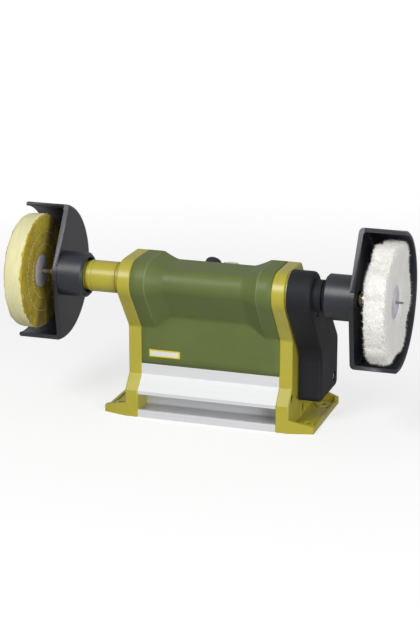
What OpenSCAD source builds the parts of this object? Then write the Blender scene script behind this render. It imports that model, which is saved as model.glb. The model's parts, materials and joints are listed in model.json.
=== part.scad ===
// Small bench polishing machine: two buffing wheels on one long spindle, driven by a belt from
// a motor inside the housing. X runs along the spindle, the front faces -Y, +Z is up and the
// origin is the centre of the four foot holes at floor level. Millimetres.

/* [Base and housing] */
// Length of the aluminium base profile and of the housing on it
base_l = 125; // [105:1:160]
// Depth of an end plate where it stands on the floor
base_d = 96; // [92:1:110]
// Thickness of each end plate
plate_t = 11.5; // [9:0.5:14]
// Wall of the aluminium profile
profile_wall = 2.5; // [2:0.1:3.5]
// Height of the lip in front of each channel
lip_h = 6.5; // [5.5:0.5:9]
// Height of the channel floor
channel_floor = 4.6; // [4:0.2:5]
// Height of the roof of each channel
channel_top = 20.8; // [18:0.2:22]
// Depth of each channel behind the face of the end plate
channel_d = 24; // [16:1:26]
// Height where the slanted shoulder starts
shoulder_low = 24; // [23.5:0.5:26]
// Height where the slanted shoulder ends
shoulder_high = 36.5; // [34:0.5:40]
// Height of the joint between the profile and the housing
housing_z = 46.2; // [44:0.2:50]
// Distance from the front of an end plate back to its upright face
setback = 11; // [8:0.5:13]
// Wall of the moulded housing
housing_wall = 2.5; // [2:0.1:3.5]
// How far the waist of the housing lies below its flared ends
waist_drop = 6.3; // [3:0.1:7]
// Width of the straight band at each flared end
flare_l = 13; // [8:0.5:18]
// Length of the slope from a flared end down to the waist
flare_blend = 15.5; // [10:0.5:20]

/* [Head] */
// Height of the spindle above the floor
spindle_z = 124.4; // [120:0.2:135]
// How far the spindle lies in front of the middle of the base
spindle_out = 46; // [42:0.5:50]
// Radius of the head round the spindle
head_r = 19.6; // [19:0.1:21]
// Slope of the flanks under the head and behind it, from the horizontal
flank_a = 53.4; // [51:0.2:55]
// Distance of the rear flank from the spindle
rear_reach = 39; // [38.6:0.1:40]
// How far the top of an end plate lies below the full round of its head
head_flat = 1.4; // [0.8:0.1:2]
// Radius where a flank meets an upright face
knee_r = 5; // [3:0.5:8]
// Radius of the rear edge of the flat top
top_r = 8; // [6:0.5:10]

/* [Feet] */
// How far each foot reaches beyond its end plate
foot_l = 21; // [18:0.5:26]
// How much a foot narrows on each side towards its tip
foot_taper = 5.4; // [3:0.2:7]
// Thickness of the foot floor
foot_floor = 2.6; // [2:0.1:4]
// Height of a foot rib at the end plate
rib_high = 11.8; // [9:0.2:14]
// Height of a foot rib at the tip
rib_low = 6.2; // [4.5:0.1:8]
// Thickness of the foot ribs
rib_t = 2.6; // [2:0.1:4]
// Height of the low rim along the tip of a foot
rim_h = 4; // [3:0.1:4.4]
// Distance between the bolt holes along the spindle
bolt_x = 170; // [168:0.5:174]
// Distance between the bolt holes across the base
bolt_y = 52; // [40:1:60]
// Diameter of the bolt holes
bolt_d = 6.5; // [5:0.1:7]

/* [Spindle] */
// Diameter of the spindle shaft
shaft_d = 8; // [7:0.1:8.4]
// Outer diameter of the spindle bearings
bearing_d = 19; // [18.5:0.1:19.6]
// Width of the spindle bearings
bearing_w = 6; // [5:0.5:7]
// Diameter of the spindle tube and of the collar on the belt cover
tube_d = 27; // [26:0.1:29]
// Diameter of the ends that carry the hoods
spigot_d = 24; // [23.5:0.1:25]
// Length of the collar between the belt cover and the hood hub
collar_l = 9.8; // [8:0.2:14]
// Diameter of the round boss of each arbor
arbor_d = 11.5; // [10.5:0.1:12.5]
// Diameter of the arbor taper where it starts
taper_d = 5.6; // [5:0.1:6.5]
// Diameter of the arbor taper at its tip
tip_d = 1.8; // [1.4:0.1:2.6]

/* [Buffing wheels] */
// Diameter of the buffing wheels
wheel_d = 100; // [90:1:104]
// Thickness of the stitched cotton wheel
cotton_t = 16.4; // [13:0.2:19]
// Thickness of the soft muslin wheel
muslin_t = 18.4; // [14:0.2:20]
// Diameter of the washers riveted on the wheels
washer_d = 28.5; // [24:0.5:32]
// Thickness of those washers
washer_t = 1.2; // [0.8:0.1:1.6]
// How deep the faces of the wheels are pulled in under the washers
wheel_dish = 3.1; // [2:0.1:3.6]
// Distance from the hood plate to the middle of the wheel
wheel_gap = 23.7; // [22:0.1:25]

/* [Hoods] */
// Gap between a wheel and the rim of its hood
hood_space = 5.4; // [5:0.1:8]
// Wall of the hood rim
hood_wall = 3.6; // [3:0.1:4.5]
// Thickness of the hood plate
hood_plate_t = 4; // [3:0.1:5]
// Depth of the hood beyond its plate
hood_w = 36.2; // [34:0.2:40]
// Outer diameter of the hood hub
hub_d = 38.6; // [36:0.2:39]
// Length of the hood hub
hub_l = 22.8; // [20:0.2:28]
// Diameter of the recess in the hub round the end of the collar
hub_recess_d = 31; // [29.8:0.2:33]
// How far the front edge of the plate stands before the spindle
hood_nose = 19.8; // [19.6:0.1:24]
// Radius of the outer edge of the hood between plate and rim
hood_edge = 3.8; // [2:0.2:5]
// How far the front corners of the hood lie behind the spindle
hood_open = 1; // [0:0.1:6]
// How far both hoods are swung back in the rest position, in degrees
hood_tilt = 11.5; // [0:0.5:30]

/* [Belt drive] */
// Depth of the belt cover
cover_d = 20.5; // [19:0.5:26]
// Wall of the belt cover
cover_wall = 2.4; // [2:0.1:3]
// Height of the raised seat under the belt cover
seat_t = 1.7; // [1:0.1:2.5]
// Radius of the belt cover round the spindle
cover_r = 20; // [19.6:0.1:21]
// Radius of the rounded edge of the belt cover
cover_edge = 3.2; // [2:0.1:3.4]
// Height of the underside of the belt cover
cover_low = 21.5; // [20:0.5:24]
// Radius where the neck of the belt cover meets its upright front
cover_knee_r = 25; // [15:1:30]
// Distance of the motor shaft in front of the rear face of the housing
motor_in = 33; // [31:0.5:36]
// Height of the motor shaft
motor_z = 52; // [51.5:0.1:54]
// Pitch radius of the driven pulley on the spindle
driven_r = 13.5; // [12:0.1:13.6]
// Pitch radius of the drive pulley on the motor
drive_r = 8; // [6.5:0.1:9]
// Width of the belt
belt_w = 8; // [6:0.5:9]
// Thickness of the belt
belt_t = 1.5; // [1.2:0.1:1.7]

/* [Motor] */
// Outer diameter of the motor
motor_d = 54; // [48:0.5:54]
// Length of the motor can between its caps
can_l = 65; // [55:1:75]
// Diameter of the motor shaft
motor_shaft_d = 5; // [4:0.1:5.6]

/* [Controls] */
// Diameter of the speed knob
knob_d = 14.5; // [13:0.1:16]
// Height of the speed knob
knob_h = 9.5; // [7:0.5:12]
// Place of the speed knob along the housing
knob_x = -7.5; // [-12:0.5:-5]
// Place of the rocker switch along the housing
switch_x = 12; // [10:0.5:18]
// Width of the switch frame
switch_w = 13.5; // [12:0.5:15]
// Length of the switch frame
switch_l = 20; // [18:0.5:21]
// Distance of the knob and the switch down the rear slope
panel_s = 11.5; // [11:0.5:16]
// Diameter of the cable gland
gland_d = 14; // [11:0.5:18]

/* [Fits] */
// Radial clearance of parts pressed or screwed together
press_gap = 0.02; // [0.01:0.01:0.04]
// Radial clearance of parts that turn in each other
run_gap = 0.06; // [0.03:0.01:0.09]
// Clearance between parts that only stand side by side
side_gap = 0.3; // [0.2:0.05:0.5]

/* [Hidden] */
$fn = 96;

YELLOW = [0.70, 0.67, 0.20];
GREEN = [0.38, 0.44, 0.23];
ALUMINIUM = [0.82, 0.83, 0.85];
BLACK = [0.14, 0.14, 0.16];
STEEL = [0.62, 0.63, 0.66];
BRASS = [0.72, 0.62, 0.36];
COPPER = [0.72, 0.42, 0.26];

// Places along the spindle, counted from the middle of the machine
half_l = base_l / 2;
plate_out = half_l + plate_t;
cover_in = plate_out + seat_t;
cover_out = cover_in + cover_d;
hub_in = cover_out + collar_l;
hood_in = hub_in + hub_l;
hood_face = hood_in + hood_plate_t;
hood_end = hood_face + hood_w;
wheel_x = hood_face + wheel_gap;
hood_inner_r = wheel_d / 2 + hood_space;
hood_r = hood_inner_r + hood_wall;
spigot_start = cover_out + collar_l * 0.7;
spigot_end = hood_in - 1;

// Places in the side view
half_d = base_d / 2;
upright = half_d - setback;
axis = [-spindle_out, spindle_z];
motor_axis = [upright - motor_in, motor_z];
mid_point = [0, 60];
inset_housing = 0.5;

// Spindle parts
bore_gap = side_gap + 1;
ring_t = 0.8;
seat_depth = 1;
outer_bearing = spigot_end - seat_depth - ring_t - bearing_w / 2;
plate_bearing = half_l + bearing_w / 2 + 1;
bearing_places = [-outer_bearing, plate_bearing, outer_bearing];
race_in_r = shaft_d / 2 + (bearing_d - shaft_d) * 0.16;
race_out_r = bearing_d / 2 - (bearing_d - shaft_d) * 0.13;
ball_ring_r = (race_in_r + race_out_r) / 2;
ball_r = (race_out_r - race_in_r) / 2 - run_gap;
BALLS = 8;
arbor_in = hood_face + 0.5;
arbor_boss_end = hood_face + 6.6;
tip_x = wheel_x + 14.5;
shaft_half = arbor_boss_end - 1.6;

// Belt drive
belt_x = (cover_in + cover_out - cover_wall) / 2;
pulley_w = belt_w + 2.4;
flange_t = 0.9;
belt_gap = 0.3;
GROOVES = 4;

// Motor
pocket_d = 5;
cap_face = half_l + pocket_d;
front_cap_l = 12.5;
rear_cap_l = 8;
can_end = cap_face - front_cap_l;
can_start = can_end - can_l;
rear_face = can_start - rear_cap_l;
can_wall = 2;
bush_d = 10;
bush_l = 8;
armature_r = motor_d * 0.35;
magnet_in_r = armature_r + 1;
commutator_r = 9;
bolt_ring_r = magnet_in_r + 2.4;
THROUGH_BOLT_D = 3;

// Screws
SCREW_D = 4;
SCREW_HEAD_D = 7;
SCREW_HEAD_T = 4;
port_r = 4;

// Points of an arc round c from angle a0 to a1
function arc(c, r, a0, a1, n) =
    [for (i = [0:n]) let (a = a0 + (a1 - a0) * i / n) c + r * [cos(a), sin(a)]];

// Points that round the corner p between its neighbours
function corner(before, p, after, r, n) =
    let (
        u = (before - p) / norm(before - p),
        v = (after - p) / norm(after - p),
        half = acos(u * v) / 2,
        c = p + (u + v) / norm(u + v) * r / sin(half),
        s = p + u * r / tan(half) - c,
        e = p + v * r / tan(half) - c,
        a0 = atan2(s[1], s[0]),
        a1 = atan2(e[1], e[0]),
        turn = (a1 - a0 + 900) % 360 - 180
    )
    arc(c, r, a0, a0 + turn, n);

// Side view above the waistline: upright faces, flanks, round head and flat top.
// inset moves every face inwards, drop only those of the head, flat lowers the round to the top.
function head_outline(inset, drop, z0, flat = 0) =
    let (
        d = inset + drop,
        r = head_r - d,
        front = -upright + inset,
        rear = upright - inset,
        front_knee = [front, axis[1] - (r + sin(flank_a) * (front - axis[0])) / cos(flank_a)],
        reach = rear_reach - d,
        top = axis[1] + r - flat,
        top_edge = [axis[0] + (reach - cos(flank_a) * (r - flat)) / sin(flank_a), top],
        rear_knee = [rear, axis[1] + (reach - sin(flank_a) * (rear - axis[0])) / cos(flank_a)],
        under_head = axis - r * [sin(flank_a), cos(flank_a)]
    )
    concat(
        [[front, z0]],
        corner([front, z0], front_knee, under_head, knee_r + d, 6),
        [for (p = arc([0, 0], r, 270 - flank_a, 90, 22)) axis + [p[0], p[1] > 0 ? p[1] * (r - flat) / r : p[1]]],
        corner([axis[0], top], top_edge, rear_knee, max(top_r - d, 1), 5),
        corner(top_edge, rear_knee, [rear, z0], max(knee_r - d, 1), 6),
        [[rear, z0]]
    );

// Side view of a whole end plate
function plate_outline(inset) =
    concat(
        [[-half_d + inset, inset], [-half_d + inset, shoulder_low]],
        head_outline(inset, 0, shoulder_high, head_flat),
        [[half_d - inset, shoulder_low], [half_d - inset, inset]]
    );

// Side view of the belt cover: a round head, a neck and an upright lower part
cover_half = 28.2;
cover_mid = motor_axis[0] + 0.7;
cover_rear_a = 47.7;
belt_reach = norm(motor_axis - axis);
cover_front_a = atan2(spindle_z - motor_z, motor_axis[0] - axis[0]) - asin((driven_r - drive_r) / belt_reach) - 1.2;
function cover_outline(inset) =
    let (
        r = cover_r - inset,
        front = cover_mid - cover_half + inset,
        rear = cover_mid + cover_half - inset,
        low = cover_low + inset,
        front_knee = [front, axis[1] - (r + sin(cover_front_a) * (front - axis[0])) / cos(cover_front_a)],
        rear_knee = [rear, axis[1] + (r - sin(cover_rear_a) * (rear - axis[0])) / cos(cover_rear_a)],
        under_head = axis - r * [sin(cover_front_a), cos(cover_front_a)],
        over_head = axis + r * [sin(cover_rear_a), cos(cover_rear_a)]
    )
    concat(
        corner([rear, low], [front, low], front_knee, 5 - inset, 4),
        corner([front, low], front_knee, under_head, cover_knee_r + inset, 9),
        arc(axis, r, 270 - cover_front_a, 90 - cover_rear_a, 24),
        corner(over_head, rear_knee, [rear, low], 10 - inset, 5),
        corner(rear_knee, [rear, low], [front, low], 6 - inset, 4)
    );

// A solid through rings of equal point count, each given as [x, outline], from low x to high x.
// c is a point in the side view that sees the whole outline: the end faces fan out from it
module skin(rings, c) {
    n = len(rings[0][1]);
    last = len(rings) - 1;
    ends = [n * len(rings), n * len(rings) + 1];
    points = concat(
        [for (r = rings) for (p = r[1]) [r[0], p[0], p[1]]],
        [[rings[0][0], c[0], c[1]], [rings[last][0], c[0], c[1]]]
    );
    sides = [for (i = [0:last - 1]) for (j = [0:n - 1])
        let (k = (j + 1) % n, a = i * n, b = a + n)
        each [[a + j, a + k, b + k], [a + j, b + k, b + j]]];
    caps = [for (j = [0:n - 1]) let (k = (j + 1) % n, b = last * n)
        each [[k, j, ends[0]], [b + j, b + k, ends[1]]]];
    polyhedron(points, concat(sides, caps), convexity = 10);
}

// The same for an open shell whose rings are [x, outer outline, inner outline]
module shell_skin(rings) {
    m = len(rings[0][1]);
    n = 2 * m;
    last = len(rings) - 1;
    loops = [for (r = rings) concat(r[1], [for (j = [m - 1:-1:0]) r[2][j]])];
    points = [for (i = [0:last]) for (p = loops[i]) [rings[i][0], p[0], p[1]]];
    sides = [for (i = [0:last - 1]) for (j = [0:n - 1])
        let (k = (j + 1) % n, a = i * n, b = a + n)
        each [[a + j, a + k, b + k], [a + j, b + k, b + j]]];
    ends = [for (j = [0:m - 2]) let (p = n - 1 - j, b = last * n)
        each [[j + 1, j, p], [j + 1, p, p - 1], [b + j, b + j + 1, b + p], [b + j + 1, b + p - 1, b + p]]];
    polyhedron(points, concat(sides, ends), convexity = 10);
}

// Extrusion of a side view along the spindle
module along_x(x0, l) {
    translate([x0, 0, 0])
        rotate([90, 0, 90])
            linear_extrude(l) children();
}

// Round bar along the spindle direction, at p in the side view
module bar(x0, l, d, p = axis) {
    translate([x0, p[0], p[1]])
        rotate([0, 90, 0])
            cylinder(h = l, d = d);
}

module ring(x0, l, d_out, d_in, p = axis) {
    difference() {
        bar(x0, l, d_out, p);
        bar(x0 - 1, l + 2, d_in, p);
    }
}

// A body of revolution about an axis along X; the outline is drawn as [x, radius]
module turned(p = axis) {
    translate([0, p[0], p[1]])
        rotate([0, 90, 0])
            rotate([0, 0, 90])
                rotate_extrude()
                    rotate([0, 0, 90])
                        mirror([0, 1])
                            children();
}

// Base profile

// Front half of the section from the middle of the floor round the channel to the top edge, walked
// along the inside of the wall and back; the tray between the inner walls is open on top
port_high = [-half_d + 12, shoulder_low + 3.5];
port_low = [0, channel_floor + port_r - 0.6];
inner_wall = -half_d + channel_d;
profile_front = -half_d + inset_housing;
profile_strip = -upright + inset_housing;
profile_lean = profile_wall / cos(atan2(shoulder_high - shoulder_low, profile_strip - profile_front));
function profile_half() =
    let (
        w = profile_wall,
        front = profile_front,
        strip = profile_strip,
        under = channel_floor - w,
        roof = shoulder_low - channel_top
    )
    [
        [inner_wall + w, under], [inner_wall + w, 0], [inner_wall, 0], [inner_wall, under],
        [front + w, under], [front + w, 0], [front, 0], [front, lip_h], [front + w, lip_h],
        [front + w, channel_floor], [inner_wall, channel_floor], [inner_wall, channel_top],
        [front, channel_top], [front, shoulder_low], [strip, shoulder_high], [strip, housing_z],
        [strip + w, housing_z], [strip + w, shoulder_high - w / 2],
        [front + profile_lean, shoulder_low - max(roof - w, 0)], [inner_wall + w, shoulder_low - max(roof - w, 0)],
        [inner_wall + w, channel_floor]
    ];

module base_profile() {
    half = profile_half();
    color(ALUMINIUM)
        difference() {
            union() {
                along_x(-half_l, base_l)
                    polygon(concat(half, [for (i = [len(half) - 1:-1:0]) [-half[i][0], half[i][1]]]));
                for (p = profile_screw_places)
                    bar(-half_l, base_l, 2 * port_r, p);
            }
            for (p = profile_screw_places)
                bar(-half_l - 1, base_l + 2, SCREW_D, p);
        }
}

// End plates

module foot_plan(inset) {
    tip = half_d - foot_taper;
    back = -2;
    polygon([[back, -half_d + inset], [0, -half_d + inset], [foot_l - inset, -tip + inset],
        [foot_l - inset, tip - inset], [0, half_d - inset], [back, half_d - inset]]);
}

// A foot is a tray: thin floor, sloping ribs front and rear, low rim along the tip, two bolt bosses
module foot() {
    difference() {
        union() {
            linear_extrude(foot_floor) foot_plan(0);
            intersection() {
                linear_extrude(rib_high + 1)
                    difference() {
                        foot_plan(0);
                        foot_plan(rib_t);
                    }
                rotate([90, 0, 0])
                    translate([0, 0, -half_d])
                        linear_extrude(base_d)
                            polygon([[-2, 0], [foot_l, 0], [foot_l, rib_low], [0, rib_high], [-2, rib_high]]);
            }
            for (y = [-1, 1])
                translate([bolt_x / 2 - plate_out, y * bolt_y / 2, 0])
                    cylinder(h = rim_h, d = bolt_d + 7);
        }
        translate([rib_t, -half_d + foot_taper + rib_t * 2, rim_h])
            cube([foot_l, base_d - 2 * foot_taper - 4 * rib_t, rib_high]);
        for (y = [-1, 1])
            translate([bolt_x / 2 - plate_out, y * bolt_y / 2, -1])
                cylinder(h = rib_high, d = bolt_d);
    }
}

// Places of the plate screws in the side view: into the profile and into the housing bosses
profile_screw_places = [port_high, port_low, [-port_high[0], port_high[1]]];
boss_r = 3.6;
boss_in = inset_housing + housing_wall + boss_r - 0.6;
boss_top = [axis[0] + 14.5, axis[1] + head_r - boss_in];
boss_rear_y = 12;
boss_rear = [boss_rear_y, axis[1] + (rear_reach - boss_in - sin(flank_a) * (boss_rear_y - axis[0])) / cos(flank_a)];
housing_screw_places = [boss_top, boss_rear];

module plate_screw_holes() {
    for (p = concat(profile_screw_places, housing_screw_places)) {
        bar(half_l - 1, plate_t + 2, SCREW_D + 0.3, p);
        bar(plate_out - SCREW_HEAD_T, SCREW_HEAD_T + seat_t + 1, SCREW_HEAD_D + 0.6, p);
    }
}

// Body of the plate with bevelled edges, its foot and its screw holes, with the outside at +X
module plate_blank() {
    edge = 0.8;
    difference() {
        union() {
            skin([
                [half_l, plate_outline(edge)],
                [half_l + edge, plate_outline(0)],
                [plate_out - edge, plate_outline(0)],
                [plate_out, plate_outline(edge)]
            ], mid_point);
            translate([plate_out, 0, 0]) foot();
        }
        plate_screw_holes();
        // pocket that saves metal on the inside and takes the motor
        along_x(half_l - 1, pocket_d + 1)
            difference() {
                polygon(head_outline(7, 0, housing_z + 2));
                translate(axis) circle(bearing_d / 2 + 5);
                for (p = housing_screw_places)
                    translate(p) circle(SCREW_HEAD_D / 2 + 2);
            }
        bar(half_l - 1, pocket_d + 1, motor_d + 2 * side_gap, motor_axis);
    }
}

tube_root_d = bearing_d + 3;
module left_end_plate() {
    color(YELLOW)
        difference() {
            mirror([1, 0, 0]) plate_blank();
            bar(-plate_out - 1, plate_t + 2, tube_root_d);
        }
}

module right_end_plate() {
    color(YELLOW)
        difference() {
            union() {
                plate_blank();
                along_x(plate_out - 0.5, seat_t + 0.5)
                    polygon(cover_outline(2.2));
            }
            plate_screw_holes();
            bar(half_l - 1, plate_t + seat_t + 2, bearing_d - 4);
            bar(half_l - 1, bearing_w + 2, bearing_d + 2 * press_gap);
            bar(half_l - 1, plate_t + seat_t + 2, bush_d + 4, motor_axis);
            for (s = [-1, 1])
                bar(half_l, plate_t + seat_t + 1, THROUGH_BOLT_D + 2 * run_gap, motor_axis + [0, s * bolt_ring_r]);
            for (p = cover_screw_places)
                bar(half_l + pocket_d, plate_t + seat_t, cover_screw_d + 2 * run_gap, p);
        }
}

// Housing

// Fall of the housing below its flared ends at distance x from the middle
function fall(x) =
    let (t = (half_l - flare_l - abs(x)) / flare_blend)
    waist_drop * (t <= 0 ? 0 : t >= 1 ? 1 : 1 - pow(1 - t, 1.25));
BLEND_STEPS = 7;
blend_x = half_l - flare_l;
half_stations = concat(
    [-half_l],
    [for (i = [0:BLEND_STEPS]) -blend_x + flare_blend * i / BLEND_STEPS]
);
stations = concat(half_stations, [for (i = [BLEND_STEPS + 1:-1:0]) -half_stations[i]]);

// The flat panel on the rear slope at the waist, with +Z out of the panel and +Y down the slope
waist_d = inset_housing + waist_drop;
waist_edge = [
    axis[0] + (rear_reach - waist_d - cos(flank_a) * (head_r - waist_d)) / sin(flank_a),
    axis[1] + head_r - waist_d
];
panel = waist_edge + panel_s * [cos(flank_a), -sin(flank_a)];
module on_panel(x) {
    translate([x, panel[0], panel[1]])
        rotate([-flank_a, 0, 0])
            children();
}

boss_l = 12;
gland_x = -half_l + 24.5;
gland_z = 62;
body_w = switch_w - 2.4;
body_l = switch_l - 3;
pot_neck_d = 7;
module housing_shell() {
    color(GREEN)
        difference() {
            union() {
                shell_skin([for (x = stations) let (flat = max(head_flat / 2 - fall(x), 0)) [x,
                    head_outline(inset_housing, fall(x), housing_z, flat),
                    head_outline(inset_housing + housing_wall, fall(x), housing_z, flat)]]);
                for (s = [-1, 1])
                    for (p = housing_screw_places)
                        bar(s > 0 ? half_l - boss_l : -half_l, boss_l, 2 * boss_r, p);
            }
            for (s = [-1, 1])
                for (p = housing_screw_places)
                    bar(s > 0 ? half_l - boss_l + 0.6 : -half_l - 1, boss_l + 0.4, SCREW_D, p);
            on_panel(knob_x)
                cylinder(h = 4 * housing_wall, d = pot_neck_d + 2 * run_gap, center = true);
            on_panel(switch_x)
                cube([body_w + 2 * run_gap, body_l + 2 * run_gap, 4 * housing_wall], center = true);
            translate([gland_x, upright, gland_z])
                rotate([90, 0, 0])
                    cylinder(h = 4 * housing_wall, d = gland_d - 4, center = true);
        }
}

module cable_gland() {
    neck_d = gland_d - 4 - 2 * run_gap;
    color(BLACK)
        translate([gland_x, upright - inset_housing, gland_z])
            rotate([-90, 0, 0])
                difference() {
                    union() {
                        cylinder(h = 3, d = gland_d);
                        translate([0, 0, 3]) cylinder(h = 6, d1 = gland_d - 2, d2 = gland_d - 4.5);
                        translate([0, 0, -housing_wall - 2]) cylinder(h = housing_wall + 2.5, d = neck_d);
                    }
                    translate([0, 0, -10]) cylinder(h = 30, d = 6.4);
                }
}

// Spindle tube and belt cover

// Bore with a bearing seat at its outer end, cut from the part that carries a hood
module spigot_bore(from) {
    bar(from, spigot_end - from + 1, bearing_d - 4);
    bar(outer_bearing - bearing_w / 2, spigot_end, bearing_d + 2 * press_gap);
    bar(outer_bearing + bearing_w / 2, ring_t + 0.04, bearing_d + 1.2);
}

friction_x = hub_in + hub_l * 0.3;
friction_w = 2.4;
friction_depth = 1.2;
module spigot_grooves() {
    ring(friction_x, friction_w, spigot_d + 4, spigot_d - 2 * friction_depth);
}

module left_spindle_tube() {
    color(YELLOW)
        mirror([1, 0, 0])
            difference() {
                union() {
                    bar(half_l + 2, plate_t - 1, tube_root_d - 2 * press_gap);
                    bar(plate_out, spigot_start - plate_out, tube_d);
                    bar(spigot_start, 2, tube_d - 1.4);
                    bar(spigot_start + 1, spigot_end - spigot_start - 1, spigot_d);
                }
                ring(plate_out + 3.6, 0.8, tube_d + 4, tube_d - 1.4);
                ring(spigot_start - 3, 0.5, tube_d + 4, tube_d - 0.8);
                spigot_grooves();
                spigot_bore(half_l);
            }
}

cover_screw_d = 3;
cover_screw_places = [axis + [6, -17.8], [cover_mid + cover_half - 12.4, cover_low + 11]];
cover_recess_d = [5.6, 9.4];
cover_recess = 2.4;
cover_pad = 4.5;
module belt_cover() {
    color(BLACK)
        difference() {
            union() {
                difference() {
                    skin([
                        [cover_in, cover_outline(0)],
                        [cover_out - cover_edge, cover_outline(0)],
                        [cover_out - cover_edge * 0.5, cover_outline(cover_edge * 0.134)],
                        [cover_out - cover_edge * 0.134, cover_outline(cover_edge * 0.5)],
                        [cover_out, cover_outline(cover_edge)]
                    ], mid_point);
                    along_x(cover_in - 1, cover_d - cover_wall + 1)
                        polygon(cover_outline(cover_wall));
                }
                bar(cover_out - cover_wall, spigot_start - cover_out + cover_wall, tube_d);
                bar(spigot_start - 1, spigot_end - spigot_start + 1, spigot_d);
                for (i = [0, 1]) {
                    bar(cover_in + side_gap, cover_d - 1, cover_screw_d + 3, cover_screw_places[i]);
                    bar(cover_out - cover_pad, cover_pad, cover_recess_d[i] + 2.6, cover_screw_places[i]);
                }
            }
            spigot_grooves();
            spigot_bore(cover_out - cover_wall - 1);
            for (i = [0, 1]) {
                bar(cover_in - 1, cover_d + 2, cover_screw_d + 2 * run_gap, cover_screw_places[i]);
                bar(cover_out - cover_recess, 4, cover_recess_d[i], cover_screw_places[i]);
            }
        }
}

module belt_cover_screws() {
    color(STEEL)
        for (p = cover_screw_places)
            difference() {
                union() {
                    bar(plate_out - 5, cover_out - cover_recess - plate_out + 5, cover_screw_d, p);
                    bar(cover_out - cover_recess, 1.6, cover_screw_d + 2, p);
                }
                for (a = [45, 135])
                    translate([cover_out - cover_recess + 1, p[0], p[1]])
                        rotate([a, 0, 0]) translate([0, -1.5, -0.3]) cube([2, 3, 0.6]);
            }
}

module bearing_outer_rings() {
    color(STEEL)
        for (x = bearing_places)
            ring(x - bearing_w / 2, bearing_w, bearing_d, 2 * race_out_r);
}

module bearing_retaining_rings() {
    color(STEEL)
        for (s = [-1, 1])
            ring(s * (outer_bearing + bearing_w / 2 + ring_t / 2 + 0.02) - ring_t / 2, ring_t, bearing_d + 1.1, bearing_d - 4);
}

module hood_friction_rings() {
    color(BLACK)
        for (s = [-1, 1])
            ring(s * (friction_x + friction_w / 2) - friction_w / 2 + 0.1, friction_w - 0.2,
                spigot_d + run_gap, spigot_d - 2 * friction_depth + 2 * press_gap);
}

// Spindle

function taper_at(x) = taper_d + (tip_d - taper_d) * (x - arbor_boss_end) / (tip_x - arbor_boss_end);

module spindle_shaft() {
    color(STEEL)
        bar(-shaft_half, 2 * shaft_half, shaft_d);
}

module arbor() {
    difference() {
        turned()
            polygon([[arbor_in, 0], [arbor_in, arbor_d / 2 - 0.5], [arbor_in + 0.5, arbor_d / 2],
                [arbor_boss_end - 4.2, arbor_d / 2], [arbor_boss_end - 3.8, arbor_d / 2 - 0.7],
                [arbor_boss_end - 3, arbor_d / 2 - 0.7], [arbor_boss_end - 2.6, arbor_d / 2],
                [arbor_boss_end - 0.7, arbor_d / 2], [arbor_boss_end, arbor_d / 2 - 0.7],
                [arbor_boss_end, taper_d / 2], [tip_x - 1, tip_d / 2], [tip_x, tip_d / 4], [tip_x, 0]]);
        bar(arbor_in - 1, shaft_half - arbor_in + 1.2, shaft_d + 2 * press_gap);
    }
}

module left_arbor() {
    color(BRASS) mirror([1, 0, 0]) arbor();
}

module right_arbor() {
    color(BRASS) arbor();
}

// Hole through a wheel or a washer that follows the taper of the arbor
module taper_hole() {
    turned()
        polygon([[arbor_boss_end + 1, 0], [arbor_boss_end + 1, taper_at(arbor_boss_end + 1) / 2 + run_gap],
            [tip_x, tip_d / 2 + run_gap], [tip_x, 0]]);
}

// Hollows in both faces of a wheel of half thickness h round its washers
module washer_hollows(h) {
    foot = washer_d / 2 + side_gap;
    for (s = [-1, 1])
        translate([wheel_x, 0, 0])
            mirror([s > 0 ? 0 : 1, 0, 0])
                turned()
                    polygon([[h - wheel_dish, 0], [h - wheel_dish, foot], [h - 0.8, foot + 4],
                        [h, foot + 7.5], [h + 9, foot + 7.5], [h + 9, 0]]);
}

// Two dished washers, one sunk in each face of a wheel of thickness t
module wheel_washers(t) {
    difference() {
        for (s = [-1, 1])
            translate([s > 0 ? 0 : 2 * wheel_x, 0, 0])
                mirror([s > 0 ? 0 : 1, 0, 0])
                    turned()
                        translate([wheel_x + t / 2 - wheel_dish, 0])
                            polygon([[0, 0], [0, washer_d / 2], [washer_t * 0.6, washer_d / 2],
                                [washer_t, washer_d / 2 - 1], [washer_t, 0]]);
        taper_hole();
    }
}

module left_wheel_washers() {
    color(STEEL) mirror([1, 0, 0]) wheel_washers(cotton_t);
}

module right_wheel_washers() {
    color(STEEL) wheel_washers(muslin_t);
}

// Stitched cotton: flat faces with a sewn groove on each stitch ring, and a softly crowned rim
STITCH_RINGS = [0.48, 0.7];
module cotton_buffing_wheel() {
    r = wheel_d / 2;
    h = cotton_t / 2;
    face = [for (k = STITCH_RINGS) each [[h, r * k + 1.2], [h - 0.5, r * k], [h, r * k - 1.2]]];
    outer = [for (i = [len(STITCH_RINGS) - 1:-1:0]) for (j = [0:2]) face[3 * i + j]];
    right_side = concat([[h - 2.4, r - 0.35], [h - 0.7, r - 1.3], [h, r - 3]], outer, [[h, 0]]);
    left_side = [for (i = [len(right_side) - 1:-1:0]) [-right_side[i][0], right_side[i][1]]];
    color([0.80, 0.76, 0.42])
        mirror([1, 0, 0])
            difference() {
                translate([wheel_x, 0, 0])
                    turned()
                        polygon(concat(left_side, [[0, r]], right_side));
                washer_hollows(h);
                taper_hole();
            }
}

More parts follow.
